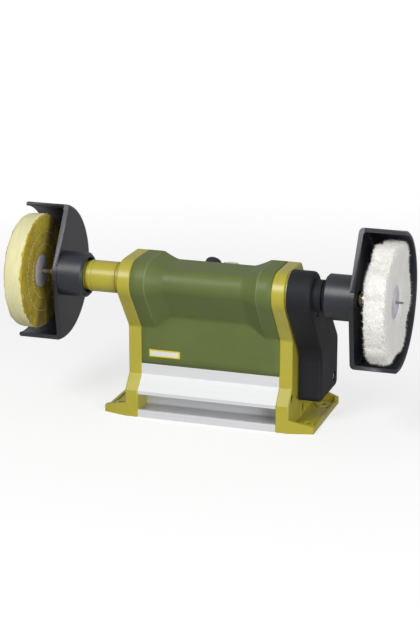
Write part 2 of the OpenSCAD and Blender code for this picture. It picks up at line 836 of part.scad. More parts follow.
// Soft muslin: a disc of loose layers whose torn edges wander in and out
MUSLIN_SIDES = 72;
MUSLIN_LAYERS = 6;
function torn(i, a) =
    0.6 * sin(5 * a + 61 * i) + 0.4 * sin(11 * a + 137 * i) + 0.3 * sin(17 * a - 71 * i) - 1.1;
module muslin_buffing_wheel() {
    h = muslin_t / 2;
    r = wheel_d / 2;
    widths = concat([-h], [for (i = [0:MUSLIN_LAYERS]) h * 0.94 * (2 * i / MUSLIN_LAYERS - 1)], [h]);
    // torn edge in the middle, drawn in towards the faces
    function edge_r(k, a) =
        let (t = abs(widths[k]) / h)
        (r + torn(k, a)) * (1 - 0.04 * pow(t, 4)) - (t > 0.99 ? 4 : 0);
    color([0.93, 0.92, 0.89])
        difference() {
            skin([for (k = [0:len(widths) - 1]) [wheel_x + widths[k],
                [for (j = [MUSLIN_SIDES - 1:-1:0]) let (a = 360 * j / MUSLIN_SIDES)
                    axis + edge_r(k, a) * [cos(a), sin(a)]]]], axis);
            washer_hollows(h);
            taper_hole();
        }
}

module bearing_inner_rings() {
    color(STEEL)
        for (x = bearing_places)
            ring(x - bearing_w / 2, bearing_w, 2 * race_in_r, shaft_d + 2 * press_gap);
}

module bearing_balls() {
    color(STEEL)
        for (x = bearing_places)
            for (i = [0:BALLS - 1])
                translate([x, axis[0] + ball_ring_r * cos(360 / BALLS * i), axis[1] + ball_ring_r * sin(360 / BALLS * i)])
                    sphere(r = ball_r, $fn = 24);
}

// Pulleys and belt

// Ribbed pulley of pitch radius r with a rim flange on each side, bored for a shaft
module pulley(r, bore_d, p) {
    x0 = belt_x - pulley_w / 2;
    x1 = belt_x + pulley_w / 2;
    land = (pulley_w - 2 * flange_t) / GROOVES;
    teeth = [for (i = [0:GROOVES - 1]) let (x = x0 + flange_t + land * i)
        each [[x, r], [x + land / 2, r - 0.8]]];
    difference() {
        turned(p)
            polygon(concat([[x0, 0], [x0, r + 1.1], [x0 + flange_t, r + 1.1]], teeth,
                [[x1 - flange_t, r], [x1 - flange_t, r + 1.1], [x1, r + 1.1], [x1, 0]]));
        bar(x0 - 1, pulley_w + 2, bore_d + 2 * press_gap, p);
    }
}

set_screw_d = 3;
module driven_pulley() {
    color(BLACK)
        difference() {
            union() {
                pulley(driven_r, shaft_d, axis);
                ring(belt_x - pulley_w / 2 - 3, 3.5, shaft_d + 8, shaft_d + 2 * press_gap);
            }
            translate([belt_x - pulley_w / 2 - 1.6, axis[0], axis[1]])
                cylinder(h = 20, d = set_screw_d * 0.7 + 2 * press_gap, $fn = 32);
        }
}

module pulley_set_screw() {
    color(STEEL)
        translate([belt_x - pulley_w / 2 - 1.6, axis[0], axis[1] + shaft_d / 2 + press_gap])
            cylinder(h = 3.4, d = set_screw_d * 0.7, $fn = 32);
}

module drive_pulley() {
    color(BLACK)
        pulley(drive_r, motor_shaft_d, motor_axis);
}

// Belt loop: the outline round both pulleys, less the same outline on the inside
function belt_loop(extra) =
    let (
        d = motor_axis - axis,
        lean = acos((driven_r - drive_r) / belt_reach),
        heading = atan2(d[1], d[0])
    )
    concat(
        arc(axis, driven_r + extra, heading + lean, heading + 360 - lean, 36),
        arc(motor_axis, drive_r + extra, heading - lean, heading + lean, 24)
    );

module drive_belt() {
    color([0.08, 0.08, 0.09])
        along_x(belt_x - belt_w / 2, belt_w)
            difference() {
                polygon(belt_loop(belt_gap + belt_t));
                polygon(belt_loop(belt_gap));
            }
}

// Motor

module motor_can() {
    color([0.45, 0.46, 0.48])
        ring(can_start, can_l, motor_d, motor_d - 2 * can_wall, motor_axis);
}

module bolt_holes(x0, l) {
    for (s = [-1, 1])
        bar(x0, l, THROUGH_BOLT_D + 2 * run_gap, motor_axis + [0, s * bolt_ring_r]);
}

// Cap with a register inside the can and a seat for the shaft bush
module motor_cap(x0, l, register_x) {
    difference() {
        union() {
            bar(x0, l, motor_d, motor_axis);
            bar(register_x, 3, motor_d - 2 * can_wall - 2 * run_gap, motor_axis);
        }
        bar(x0 - 5, l + 10, motor_shaft_d + 2, motor_axis);
        bolt_holes(x0 - 5, l + 10);
        children();
    }
}

module motor_front_cap() {
    color(ALUMINIUM)
        motor_cap(can_end, front_cap_l, can_end - 3)
            bar(cap_face - bush_l, bush_l + 1, bush_d + 2 * press_gap, motor_axis);
}

module motor_rear_cap() {
    color(ALUMINIUM)
        motor_cap(rear_face, rear_cap_l, can_start)
            bar(rear_face - 1, bush_l - 1, bush_d + 2 * press_gap, motor_axis);
}

module motor_bushes() {
    color(BRASS) {
        ring(cap_face - bush_l, bush_l, bush_d, motor_shaft_d + 2 * run_gap, motor_axis);
        ring(rear_face - 1, bush_l - 1, bush_d, motor_shaft_d + 2 * run_gap, motor_axis);
    }
}

// Two curved magnets in front and behind, with gaps above and below for the long bolts
module motor_magnets() {
    l = can_l * 0.62;
    color([0.25, 0.25, 0.27])
        for (s = [-1, 1])
            intersection() {
                ring(can_end - l - 6, l, motor_d - 2 * can_wall - 2 * run_gap, 2 * magnet_in_r, motor_axis);
                along_x(can_end - l - 7, l + 2)
                    polygon([motor_axis, motor_axis + s * motor_d * [0.75, -0.75], motor_axis + s * motor_d * [0.75, 0.75]]);
            }
}

nut_d = THROUGH_BOLT_D + 2.5;
nut_t = 2.4;
module motor_through_bolts() {
    color(STEEL)
        for (s = [-1, 1]) {
            p = motor_axis + [0, s * bolt_ring_r];
            bar(rear_face - nut_t, nut_t, nut_d, p);
            bar(rear_face - 1, cover_in - rear_face + 2, THROUGH_BOLT_D, p);
            bar(cover_in, nut_t, nut_d, p);
        }
}

// A carbon brush in its holder on each side of the commutator, short of the round wall of the can
brush_w = 6;
brush_in = commutator_r + run_gap;
brush_out = motor_d / 2 - can_wall - 0.5;
module motor_brush_holders() {
    color([0.35, 0.24, 0.14])
        for (s = [-1, 1])
            translate([can_start + 5, motor_axis[0] + (s > 0 ? brush_in : -brush_out), motor_axis[1] - brush_w / 2])
                cube([brush_w, brush_out - brush_in, brush_w]);
}

module motor_shaft() {
    color(STEEL)
        bar(rear_face - 3, belt_x + pulley_w / 2 + 1 - rear_face + 3, motor_shaft_d, motor_axis);
}

// Slotted stack of the armature
SLOTS = 12;
module motor_armature() {
    l = can_l * 0.55;
    color(COPPER)
        difference() {
            bar(can_end - l - 8, l, 2 * armature_r, motor_axis);
            bar(can_end - l - 9, l + 2, motor_shaft_d + 2 * press_gap, motor_axis);
            for (i = [0:SLOTS - 1])
                translate([can_end - l - 9, motor_axis[0], motor_axis[1]])
                    rotate([360 / SLOTS * i, 0, 0])
                        translate([0, -1, armature_r - 4]) cube([l + 2, 2, 5]);
        }
}

module motor_commutator() {
    color(COPPER)
        ring(can_start + 4, 9, 2 * commutator_r - 2 * run_gap, motor_shaft_d + 2 * press_gap, motor_axis);
}

// Controls on the rear slope

pot_l = 7;
module speed_control() {
    color([0.3, 0.32, 0.3])
        on_panel(knob_x)
            difference() {
                union() {
                    translate([0, 0, -housing_wall - press_gap - pot_l]) cylinder(h = pot_l, d = 15);
                    translate([0, 0, -housing_wall - 1]) cylinder(h = housing_wall + 3.2, d = pot_neck_d);
                    translate([0, 0, press_gap]) cylinder(h = 1.6, d = pot_neck_d + 3, $fn = 6);
                }
                translate([0, 0, -housing_wall - 4]) cylinder(h = 20, d = 6);
            }
}

module speed_knob() {
    color([0.16, 0.16, 0.20])
        on_panel(knob_x)
            difference() {
                union() {
                    rotate_extrude()
                        difference() {
                            polygon(concat([[0, 0.6], [knob_d / 2, 0.6]],
                                arc([knob_d / 2 - 2.2, knob_h - 2.2], 2.2, 0, 90, 5), [[0, knob_h + 0.3]]));
                            translate([0, -1]) square([knob_d / 2 - 1.2, 5]);
                        }
                    translate([0, 0, -housing_wall - 3]) cylinder(h = housing_wall + 8, d = 6 - 2 * run_gap);
                }
                for (i = [0:17])
                    rotate([0, 0, 20 * i])
                        translate([knob_d / 2 + 0.35, 0, 0]) cylinder(h = knob_h - 2, r = 0.8, $fn = 24);
            }
}

board_w = 33;
board_l = 30;
board_t = 1.6;
capacitor_d = 10;
// Blocks on the board: [place across, place down the slope, width, length, height]
BOARD_BLOCKS = [[19, 18, 12, 5, 9], [4, 6, 9, 4, 6], [20, 4, 8, 6, 4]];
module control_board() {
    color([0.10, 0.32, 0.18])
        on_panel(knob_x)
            translate([-board_w * 2 / 3, -board_l * 0.43, -housing_wall - 2 * press_gap - pot_l - board_t]) {
                cube([board_w, board_l, board_t]);
                translate([board_w / 4, board_l * 0.7, -capacitor_d * 1.4]) cylinder(h = capacitor_d * 1.4, d = capacitor_d);
                for (b = BOARD_BLOCKS)
                    translate([b[0], b[1], -b[4]]) cube([b[2], b[3], b[4]]);
            }
}

// Rocker switch: a frame with a deep body, a pin across it and the rocker on the pin
body_depth = 16;
window_l = body_l - 0.6;
window_w = body_w - 1.6;
pin_z = -1;
pin_d = 2;
module switch_body() {
    color(BLACK)
        on_panel(switch_x)
            difference() {
                union() {
                    translate([-switch_w / 2, -switch_l / 2, 0]) cube([switch_w, switch_l, 1.6]);
                    translate([-body_w / 2, -body_l / 2, -body_depth]) cube([body_w, body_l, body_depth + 0.5]);
                }
                translate([-window_w / 2, -window_l / 2, -8]) cube([window_w, window_l, 20]);
                translate([0, 0, pin_z]) rotate([0, 90, 0]) cylinder(h = 30, d = pin_d + 2 * press_gap, center = true);
            }
}

module switch_pivot_pin() {
    color(STEEL)
        on_panel(switch_x)
            translate([0, 0, pin_z]) rotate([0, 90, 0]) cylinder(h = body_w - 0.2, d = pin_d, center = true);
}

rocker_a = 7;
module switch_rocker() {
    half = window_l / 2 - 0.6;
    wide = window_w - 4 * run_gap;
    color([0.72, 0.71, 0.68])
        on_panel(switch_x)
            translate([0, 0, pin_z])
                rotate([-rocker_a, 0, 0])
                    difference() {
                        rotate([90, 0, 90])
                            translate([0, 0, -wide / 2])
                                linear_extrude(wide)
                                    polygon([[-half, -2], [-half, 4.6], [0, 3.4], [half, 4.6], [half, -2], [3, -3], [-3, -3]]);
                        rotate([0, 90, 0]) cylinder(h = wide + 2, d = pin_d + 2 * run_gap, center = true);
                    }
}

// Screws

module socket_screws(places, l) {
    for (s = [-1, 1])
        for (p = places)
            mirror([s > 0 ? 0 : 1, 0, 0])
                difference() {
                    union() {
                        bar(plate_out - SCREW_HEAD_T, SCREW_HEAD_T - 0.6, SCREW_HEAD_D, p);
                        bar(plate_out - SCREW_HEAD_T - l, l + 1, SCREW_D - 2 * run_gap, p);
                    }
                    translate([plate_out - SCREW_HEAD_T + 1.2, p[0], p[1]])
                        rotate([0, 90, 0]) cylinder(h = 4, d = 3.4, $fn = 6);
                }
}

module profile_screws() {
    color(STEEL) socket_screws(profile_screw_places, plate_t - SCREW_HEAD_T + 14);
}

module housing_screws() {
    color(STEEL) socket_screws(housing_screw_places, plate_t - SCREW_HEAD_T + boss_l - 2);
}

// Hoods

// Front edge of the plate: two straight edges that run round the nose, in the hood's own side view
module hood_plate_outline() {
    corner_v = sqrt(hood_r * hood_r - hood_open * hood_open);
    swing = acos(hood_nose / hood_r);
    start = atan2(corner_v, hood_open);
    contact = hood_nose * [cos(start + swing), sin(start + swing)];
    intersection() {
        circle(hood_r + 1);
        union() {
            translate([hood_open, -hood_r]) square([hood_r, 2 * hood_r]);
            circle(hood_nose);
            polygon([[hood_open, corner_v], contact, [contact[0], -contact[1]], [hood_open, -corner_v]]);
        }
    }
}

// A hood at +X in its place: children are drawn upright and swung back about the spindle
module hood_swung() {
    translate([0, axis[0], axis[1]])
        rotate([-hood_tilt, 0, 0])
            translate([0, -axis[0], -axis[1]])
                children();
}

// Plate with the hub that turns on the spigot
hood_seam_r = hood_inner_r - 1.5;
module hood() {
    hood_swung()
        difference() {
            union() {
                intersection() {
                    bar(hood_in, hood_plate_t, 2 * (hood_seam_r - press_gap));
                    along_x(hood_in - 1, hood_plate_t + 2)
                        translate(axis) hood_plate_outline();
                }
                turned()
                    polygon([[hub_in, 0], [hub_in, hub_d / 2 - 1.8], [hub_in + 1.8, hub_d / 2],
                        [hood_in + 1, hub_d / 2], [hood_in + 1, 0]]);
            }
            bar(hub_in - 1, hub_l + 1, spigot_d + 2 * run_gap);
            bar(hub_in - 1, 5, hub_recess_d);
            bar(hood_in - 1, hood_plate_t + 2, arbor_d + 2 * bore_gap);
        }
}

// Rim behind the wheel, with the rounded edge where it goes over into the plate
module hood_rim() {
    hood_swung()
        intersection() {
            turned()
                polygon(concat([[hood_in, hood_seam_r]],
                    arc([hood_in + hood_edge, hood_r - hood_edge], hood_edge, 180, 90, 5),
                    [[hood_end - 1.2, hood_r], [hood_end, hood_r - 1.2],
                    [hood_end, hood_inner_r + 0.6], [hood_end - 0.6, hood_inner_r],
                    [hood_face + 1.5, hood_inner_r], [hood_face, hood_seam_r]]));
            union() {
                along_x(hood_in - 1, hood_plate_t + 1.7)
                    translate(axis) hood_plate_outline();
                translate([hood_in - 1, axis[0] + hood_open, axis[1] - hood_r - 1])
                    cube([hood_w + hood_plate_t + 2, hood_r + 1, 2 * hood_r + 2]);
            }
        }
}

module left_hood() {
    color(BLACK) mirror([1, 0, 0]) hood();
}

module left_hood_rim() {
    color(BLACK) mirror([1, 0, 0]) hood_rim();
}

module right_hood() {
    color(BLACK) hood();
}

module right_hood_rim() {
    color(BLACK) hood_rim();
}

base_profile();
left_end_plate();
right_end_plate();
housing_shell();
left_spindle_tube();
belt_cover();
bearing_outer_rings();
bearing_retaining_rings();
motor_can();
motor_front_cap();
motor_rear_cap();
motor_magnets();
motor_bushes();
motor_brush_holders();
motor_through_bolts();
drive_belt();
control_board();
speed_control();
switch_body();
switch_pivot_pin();
cable_gland();
profile_screws();
housing_screws();
belt_cover_screws();
hood_friction_rings();
spindle_shaft();
bearing_inner_rings();
bearing_balls();
driven_pulley();
pulley_set_screw();
left_arbor();
right_arbor();
left_wheel_washers();
right_wheel_washers();
cotton_buffing_wheel();
muslin_buffing_wheel();
motor_shaft();
motor_armature();
motor_commutator();
drive_pulley();
left_hood();
left_hood_rim();
right_hood();
right_hood_rim();
speed_knob();
switch_rocker();
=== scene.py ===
# %% [markdown]
# # A small bench polishing machine
#
# Two cloth wheels sit at the ends of one long spindle, each half covered by a black hood. Under the
# spindle stands a green housing between two yellow end plates, on an aluminium profile. The
# construction is loaded as a fixed frame. This lesson gives every surface of it its finish, and makes
# the pieces whose shape the frame only sketches: the moulded housing and the two cloth wheels.

# %% Load the frame
import json
import math
from contextlib import contextmanager

import bmesh
import bpy
from mathutils import Matrix, Vector

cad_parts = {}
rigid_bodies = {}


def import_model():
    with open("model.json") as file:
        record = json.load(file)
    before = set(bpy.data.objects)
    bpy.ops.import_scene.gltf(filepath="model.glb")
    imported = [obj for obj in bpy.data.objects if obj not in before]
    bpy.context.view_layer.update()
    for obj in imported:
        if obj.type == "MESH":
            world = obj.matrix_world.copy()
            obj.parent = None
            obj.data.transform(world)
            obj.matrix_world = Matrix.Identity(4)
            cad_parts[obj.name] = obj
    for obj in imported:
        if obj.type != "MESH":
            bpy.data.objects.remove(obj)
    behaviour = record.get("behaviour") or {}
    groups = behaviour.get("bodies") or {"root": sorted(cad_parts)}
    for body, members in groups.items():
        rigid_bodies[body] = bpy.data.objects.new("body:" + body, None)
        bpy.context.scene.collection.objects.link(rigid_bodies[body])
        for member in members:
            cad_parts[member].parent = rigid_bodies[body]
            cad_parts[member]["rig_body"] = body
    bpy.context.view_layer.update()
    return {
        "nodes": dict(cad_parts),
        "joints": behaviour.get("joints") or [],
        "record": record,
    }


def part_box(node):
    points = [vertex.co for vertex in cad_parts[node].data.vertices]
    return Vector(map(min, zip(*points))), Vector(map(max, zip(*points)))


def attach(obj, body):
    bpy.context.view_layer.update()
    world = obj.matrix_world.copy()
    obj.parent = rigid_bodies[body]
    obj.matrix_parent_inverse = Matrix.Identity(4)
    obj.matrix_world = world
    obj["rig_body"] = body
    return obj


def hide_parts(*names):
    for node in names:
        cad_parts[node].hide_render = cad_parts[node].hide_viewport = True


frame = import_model()

# %% Driving sizes
MM = 0.001
spin = next(j for j in frame["joints"] if j["name"] == "spindle_spin")
SPINDLE = Vector(spin["pos_m"])


def on_spindle(x):
    return Vector((x, SPINDLE.y, SPINDLE.z))


print("spindle height above the floor:", round(SPINDLE.z / MM, 1), "mm")

# %% [markdown]
# ## Helpers for objects and meshes
#
# Short helpers are used all through the lesson. They set properties by name, put a new object in the
# scene, add a modifier, open a mesh for editing and write it back, make the faces between rings of
# points, shade a mesh smooth, and take the mesh that an object's modifiers make.


# %% Helpers for objects and meshes
def having(thing, **settings):
    for key, value in settings.items():
        setattr(thing, key, value)
    return thing


def new_object(name, data, **settings):
    made = having(bpy.data.objects.new(name, data), **settings)
    bpy.context.scene.collection.objects.link(made)
    return made


def modify(piece, name, kind, **settings):
    return having(piece.modifiers.new(name, kind), **settings)


@contextmanager
def editing(mesh):
    shape = bmesh.new()
    shape.from_mesh(mesh)
    yield shape
    shape.to_mesh(mesh)
    shape.free()


def bridge(shape, rings, closed=False):
    """Makes the faces between each ring of points and the next."""
    for ring, following in zip(rings, rings[1:]):
        for i in range(-1 if closed else 0, len(ring) - 1):
            shape.faces.new((ring[i], following[i], following[i + 1], ring[i + 1]))


def shade_smooth(mesh):
    for polygon in mesh.polygons:
        polygon.use_smooth = True


def evaluated_mesh(piece):
    graph = bpy.context.evaluated_depsgraph_get()
    return bpy.data.meshes.new_from_object(piece.evaluated_get(graph))


# %% [markdown]
# ## Camera
#
# The photograph was taken from the front, a little from the right and from above, with a long lens.
# A camera is placed by the direction in which it stands and by its distance. Turning it with
# `to_track_quat` towards one point keeps the horizon level, as a photographer does.

# %% Camera
AZIMUTH = math.radians(18.34)
ELEVATION = math.radians(16.63)
DISTANCE = 1593 * MM
AIM = Vector((1.5, -40.1, 96.7)) * MM
LENS = 106.8
SENSOR = 36


def aimed(name, data, place, direction):
    """A camera or a lamp that stands at a place and looks in a direction, held level."""
    return new_object(name, data, location=place, rotation_mode="QUATERNION",
                      rotation_quaternion=direction.to_track_quat("-Z", "Y"))


def add_camera():
    back = Vector((math.sin(AZIMUTH) * math.cos(ELEVATION), -math.cos(AZIMUTH) * math.cos(ELEVATION),
                   math.sin(ELEVATION)))
    data = having(bpy.data.cameras.new("camera"), lens=LENS, sensor_width=SENSOR)
    camera = aimed("camera", data, AIM + back * DISTANCE, -back)
    bpy.context.scene.camera = camera
    return camera


camera = add_camera()
print("camera at", [round(v, 3) for v in camera.location])

# %% [markdown]
# ## Reckoning with nodes
#
# Materials and geometry are both made of nodes here. A formula of ten steps would be ten nodes and ten
# links, hard to read. So the number that leaves a node is held as a `Wire`, and a sum written with
# wires, such as `(a - b) * c`, adds the Math nodes itself.


# %% Reckoning with nodes
def sum_step(operation, swapped=False):
    """One sign of a sum, as a method that adds a Math node."""
    def method(wire, other=0.0):
        first, second = (other, wire) if swapped else (wire, other)
        return maths(wire.tree, operation, first, second)
    return method


class Wire:
    """What one node passes on to the next. A sum with number wires adds a Math node for each step."""

    def __init__(self, tree, socket):
        self.tree = tree
        self.socket = socket

    __add__ = __radd__ = sum_step("ADD")
    __sub__ = sum_step("SUBTRACT")
    __rsub__ = sum_step("SUBTRACT", swapped=True)
    __mul__ = __rmul__ = sum_step("MULTIPLY")
    __truediv__ = sum_step("DIVIDE")
    __pow__ = sum_step("POWER")
    __abs__ = sum_step("ABSOLUTE")


def feed(tree, node, inputs):
    """Gives a node its inputs, by name or number: a wire or a socket is linked, and a value is set."""
    for key, value in inputs.items():
        if isinstance(value, Wire):
            value = value.socket
        if isinstance(value, bpy.types.NodeSocket):
            tree.links.new(value, node.inputs[key])
        else:
            node.inputs[key].default_value = value


def add_node(tree, kind, inputs=None, **settings):
    node = having(tree.nodes.new(kind), **settings)
    feed(tree, node, inputs or {})
    return node


def maths(tree, operation, a, b=0.0):
    return Wire(tree, add_node(tree, "ShaderNodeMath", {0: a, 1: b}, operation=operation).outputs[0])


# %% [markdown]
# ## Small nodes by name
#
# A few nodes come back again and again: the three numbers of a place, noise, a value that is mapped
# from one range to another, and the mix of two colours. Each gets a short name. Colours are written as
# seen on a screen, from 0 to 255.

# %% Small nodes by name
NUMBER_RESULTS = ("LENGTH", "DOT_PRODUCT")
MIX_FACTOR, MIX_FIRST, MIX_SECOND = 0, 6, 7
MIX_RESULT = 2


def object_place(tree):
    return tree.nodes.new("ShaderNodeTexCoord").outputs["Object"]


def split(tree, place):
    return [Wire(tree, socket) for socket in add_node(tree, "ShaderNodeSeparateXYZ", {0: place}).outputs]


def join(tree, x=0.0, y=0.0, z=0.0):
    return Wire(tree, add_node(tree, "ShaderNodeCombineXYZ", {0: x, 1: y, 2: z}).outputs[0])


def vector_maths(tree, operation, a, b=(0, 0, 0)):
    second = "Scale" if operation == "SCALE" else 1
    node = add_node(tree, "ShaderNodeVectorMath", {0: a, second: b}, operation=operation)
    return Wire(tree, node.outputs["Value" if operation in NUMBER_RESULTS else "Vector"])


def noise(tree, place, scale, detail, roughness=0.5, **more):
    """Noise that changes over a place. With a seed, given as W, it is four-dimensional."""
    inputs = {"Vector": place, "Scale": scale, "Detail": detail, "Roughness": roughness, **more}
    node = add_node(tree, "ShaderNodeTexNoise", inputs, noise_dimensions="4D" if "W" in more else "3D")
    return Wire(tree, node.outputs["Fac"])


def ramp(tree, value, start, end, first=0.0, last=1.0, kind="LINEAR"):
    """Goes from first to last while the value goes from start to end, and stays level beyond them."""
    inputs = {"Value": value, "From Min": start, "From Max": end, "To Min": first, "To Max": last}
    return Wire(tree, add_node(tree, "ShaderNodeMapRange", inputs, interpolation_type=kind).outputs[0])


def srgb(red, green, blue):
    """A colour as seen on a screen, 0 to 255, as the linear colour that a shader wants."""
    def linear(value):
        value = value / 255
        return value / 12.92 if value <= 0.04045 else ((value + 0.055) / 1.055) ** 2.4
    return (linear(red), linear(green), linear(blue), 1)


def blend_colours(tree, factor, first, second, mode="MIX"):
    """Mixes two colours. Each is a wire, a socket or the three numbers of a screen colour."""
    first, second = (srgb(*colour) if isinstance(colour, tuple) else colour for colour in (first, second))
    inputs = {MIX_FACTOR: factor, MIX_FIRST: first, MIX_SECOND: second}
    node = add_node(tree, "ShaderNodeMix", inputs, data_type="RGBA", blend_type=mode)
    return node.outputs[MIX_RESULT]


# %% [markdown]
# ## Shared surface effects
#
# Moulded plastic and sprayed paint have a skin of tiny bumps and a faint change of tone. Drawn
# aluminium has fine lines along the profile. Turned steel has rings. Cloth has threads that cross.
# Each effect is one node group that puts out a height and a tone, so that every material can use it at
# its own strength. A rule per effect says how the outputs follow from the inputs and the place.


# %% Shared surface effects
def given_wires(tree):
    """A tree's own inputs, by name."""
    return {socket.name: Wire(tree, socket) for socket in tree.nodes.new("NodeGroupInput").outputs}


def effect_group(name, inputs, rule):
    group = bpy.data.node_groups.new(name, "ShaderNodeTree")
    for label, value in inputs.items():
        socket = group.interface.new_socket(label, in_out="INPUT", socket_type="NodeSocketFloat")
        socket.default_value = value
    outputs = rule(group, given_wires(group), object_place(group))
    for label in outputs:
        group.interface.new_socket(label, in_out="OUTPUT", socket_type="NodeSocketFloat")
    feed(group, group.nodes.new("NodeGroupOutput"), outputs)
    return group


def skin_rule(tree, given, where):
    """Fine moulded or sprayed skin: Height is the grain, Tone a broad, soft change of shade."""
    return {"Height": noise(tree, where, given["Grain per metre"], 3.0, 0.6),
            "Tone": noise(tree, where, given["Tone per metre"], 4.0, 0.55)}


def drawn_rule(tree, given, where):
    """Long fine lines along X, as a die leaves them on a drawn profile."""
    x, y, z = split(tree, where)
    spread = join(tree, x * given["Stretch"], y, z)
    return {"Height": noise(tree, spread, given["Lines per metre"], 4.0, 0.7),
            "Tone": noise(tree, spread, given["Tone per metre"], 2.0)}


def turned_rule(tree, given, where):
    """Fine rings about the spindle direction, as a lathe tool leaves them: lines that change along X only."""
    along = join(tree, split(tree, where)[0])
    return {"Height": noise(tree, along, given["Rings per metre"], 3.0),
            "Tone": noise(tree, where, given["Tone per metre"], 4.0)}


def weave_rule(tree, given, where):
    """Plain weave: two sets of threads that cross, with thick and thin places and soft creases."""
    turn = given["Threads per metre"] * (2 * math.pi)
    layers, warp, weft = [maths(tree, "SINE", along * turn) for along in split(tree, where)]
    threads = maths(tree, "MAXIMUM", warp * layers, weft * layers)
    slubs = noise(tree, where, given["Slubs per metre"], 5.0, 0.65)
    return {"Height": threads * given["Thread share"] + slubs, "Tone": slubs,
            "Crease": noise(tree, where, given["Creases per metre"], 3.0, Distortion=0.6)}


SKIN = effect_group("skin effect", {"Grain per metre": 1500.0, "Tone per metre": 25.0}, skin_rule)
DRAWN = effect_group("drawn effect", {"Lines per metre": 2500.0, "Tone per metre": 240.0, "Stretch": 0.01},
                     drawn_rule)
TURNED = effect_group("turned effect", {"Rings per metre": 2500.0, "Tone per metre": 180.0}, turned_rule)
WEAVE = effect_group("weave effect", {"Threads per metre": 1400.0, "Thread share": 0.35,
                                      "Slubs per metre": 420.0, "Creases per metre": 55.0}, weave_rule)
print("effects:", [g.name for g in (SKIN, DRAWN, TURNED, WEAVE)])

# %% [markdown]
# ## Finishes
#
# A finish is a Principled BSDF whose colour, roughness and bump come from one of the effects. The tone
# of the effect mixes two near shades, so that no surface is one flat colour. Its grain feeds a Bump
# node whose distance is a real depth in metres.

# %% Finishes
TONE_RANGE = (0.35, 0.65)
CREASE_SHADE_RANGE = (0.4, 0.62)


def finish(name, effect, values, shades, rough, depth, **principled):
    """A material: two shades mixed by the effect's tone, a range of roughness and a bump of that depth."""
    material = having(bpy.data.materials.new(name), use_nodes=True)
    tree = material.node_tree
    source = add_node(tree, "ShaderNodeGroup", values, node_tree=effect)
    tone = ramp(tree, source.outputs["Tone"], *TONE_RANGE)
    bump = add_node(tree, "ShaderNodeBump", {"Height": source.outputs["Height"], "Distance": depth})
    feed(tree, tree.nodes["Principled BSDF"], {
        "Base Color": blend_colours(tree, tone, *shades), "Roughness": ramp(tree, tone, 0.0, 1.0, *rough),
        "Normal": bump.outputs[0], **{key.replace("_", " "): value for key, value in principled.items()}})
    return material


def tint(material, mask, colour, mode="MIX"):
    """Mixes a colour over the material's own one, as far as the mask says."""
    tree = material.node_tree
    shader = tree.nodes["Principled BSDF"]
    own = shader.inputs["Base Color"].links[0].from_socket
    feed(tree, shader, {"Base Color": blend_colours(tree, mask, own, colour, mode)})


def plastic(name, light, dark, rough=(0.42, 0.5), depth=0.02 * MM, **principled):
    principled.setdefault("Specular_IOR_Level", 0.3)
    return finish(name, SKIN, {"Grain per metre": 1800.0}, (dark, light), rough, depth, **principled)


def paint(name, light, dark, rough=(0.3, 0.38)):
    return finish(name, SKIN, {"Grain per metre": 700.0}, (dark, light), rough, 0.012 * MM,
                  Specular_IOR_Level=0.75)


def steel(name, light, dark, rough=(0.22, 0.36)):
    return finish(name, TURNED, {}, (dark, light), rough, 0.006 * MM, Metallic=1.0)


def cloth(name, light, dark, threads, depth, crease_shade, sheen=0.3):
    """Woven cloth: painted shade darkens it in broad soft folds, along the weave effect's creases."""
    material = finish(name, WEAVE, {"Threads per metre": threads}, (dark, light), (0.85, 0.95), depth,
                      Sheen_Weight=sheen, Sheen_Roughness=0.6)
    tree = material.node_tree
    weave = next(node for node in tree.nodes if node.type == "GROUP")
    # painted shade: the weave's creases multiply the colour darker, where shade would fall in folds
    painted_crease_shade = ramp(tree, weave.outputs["Crease"], *CREASE_SHADE_RANGE, 0.0, crease_shade)
    tint(material, painted_crease_shade, dark, "MULTIPLY")
    return material


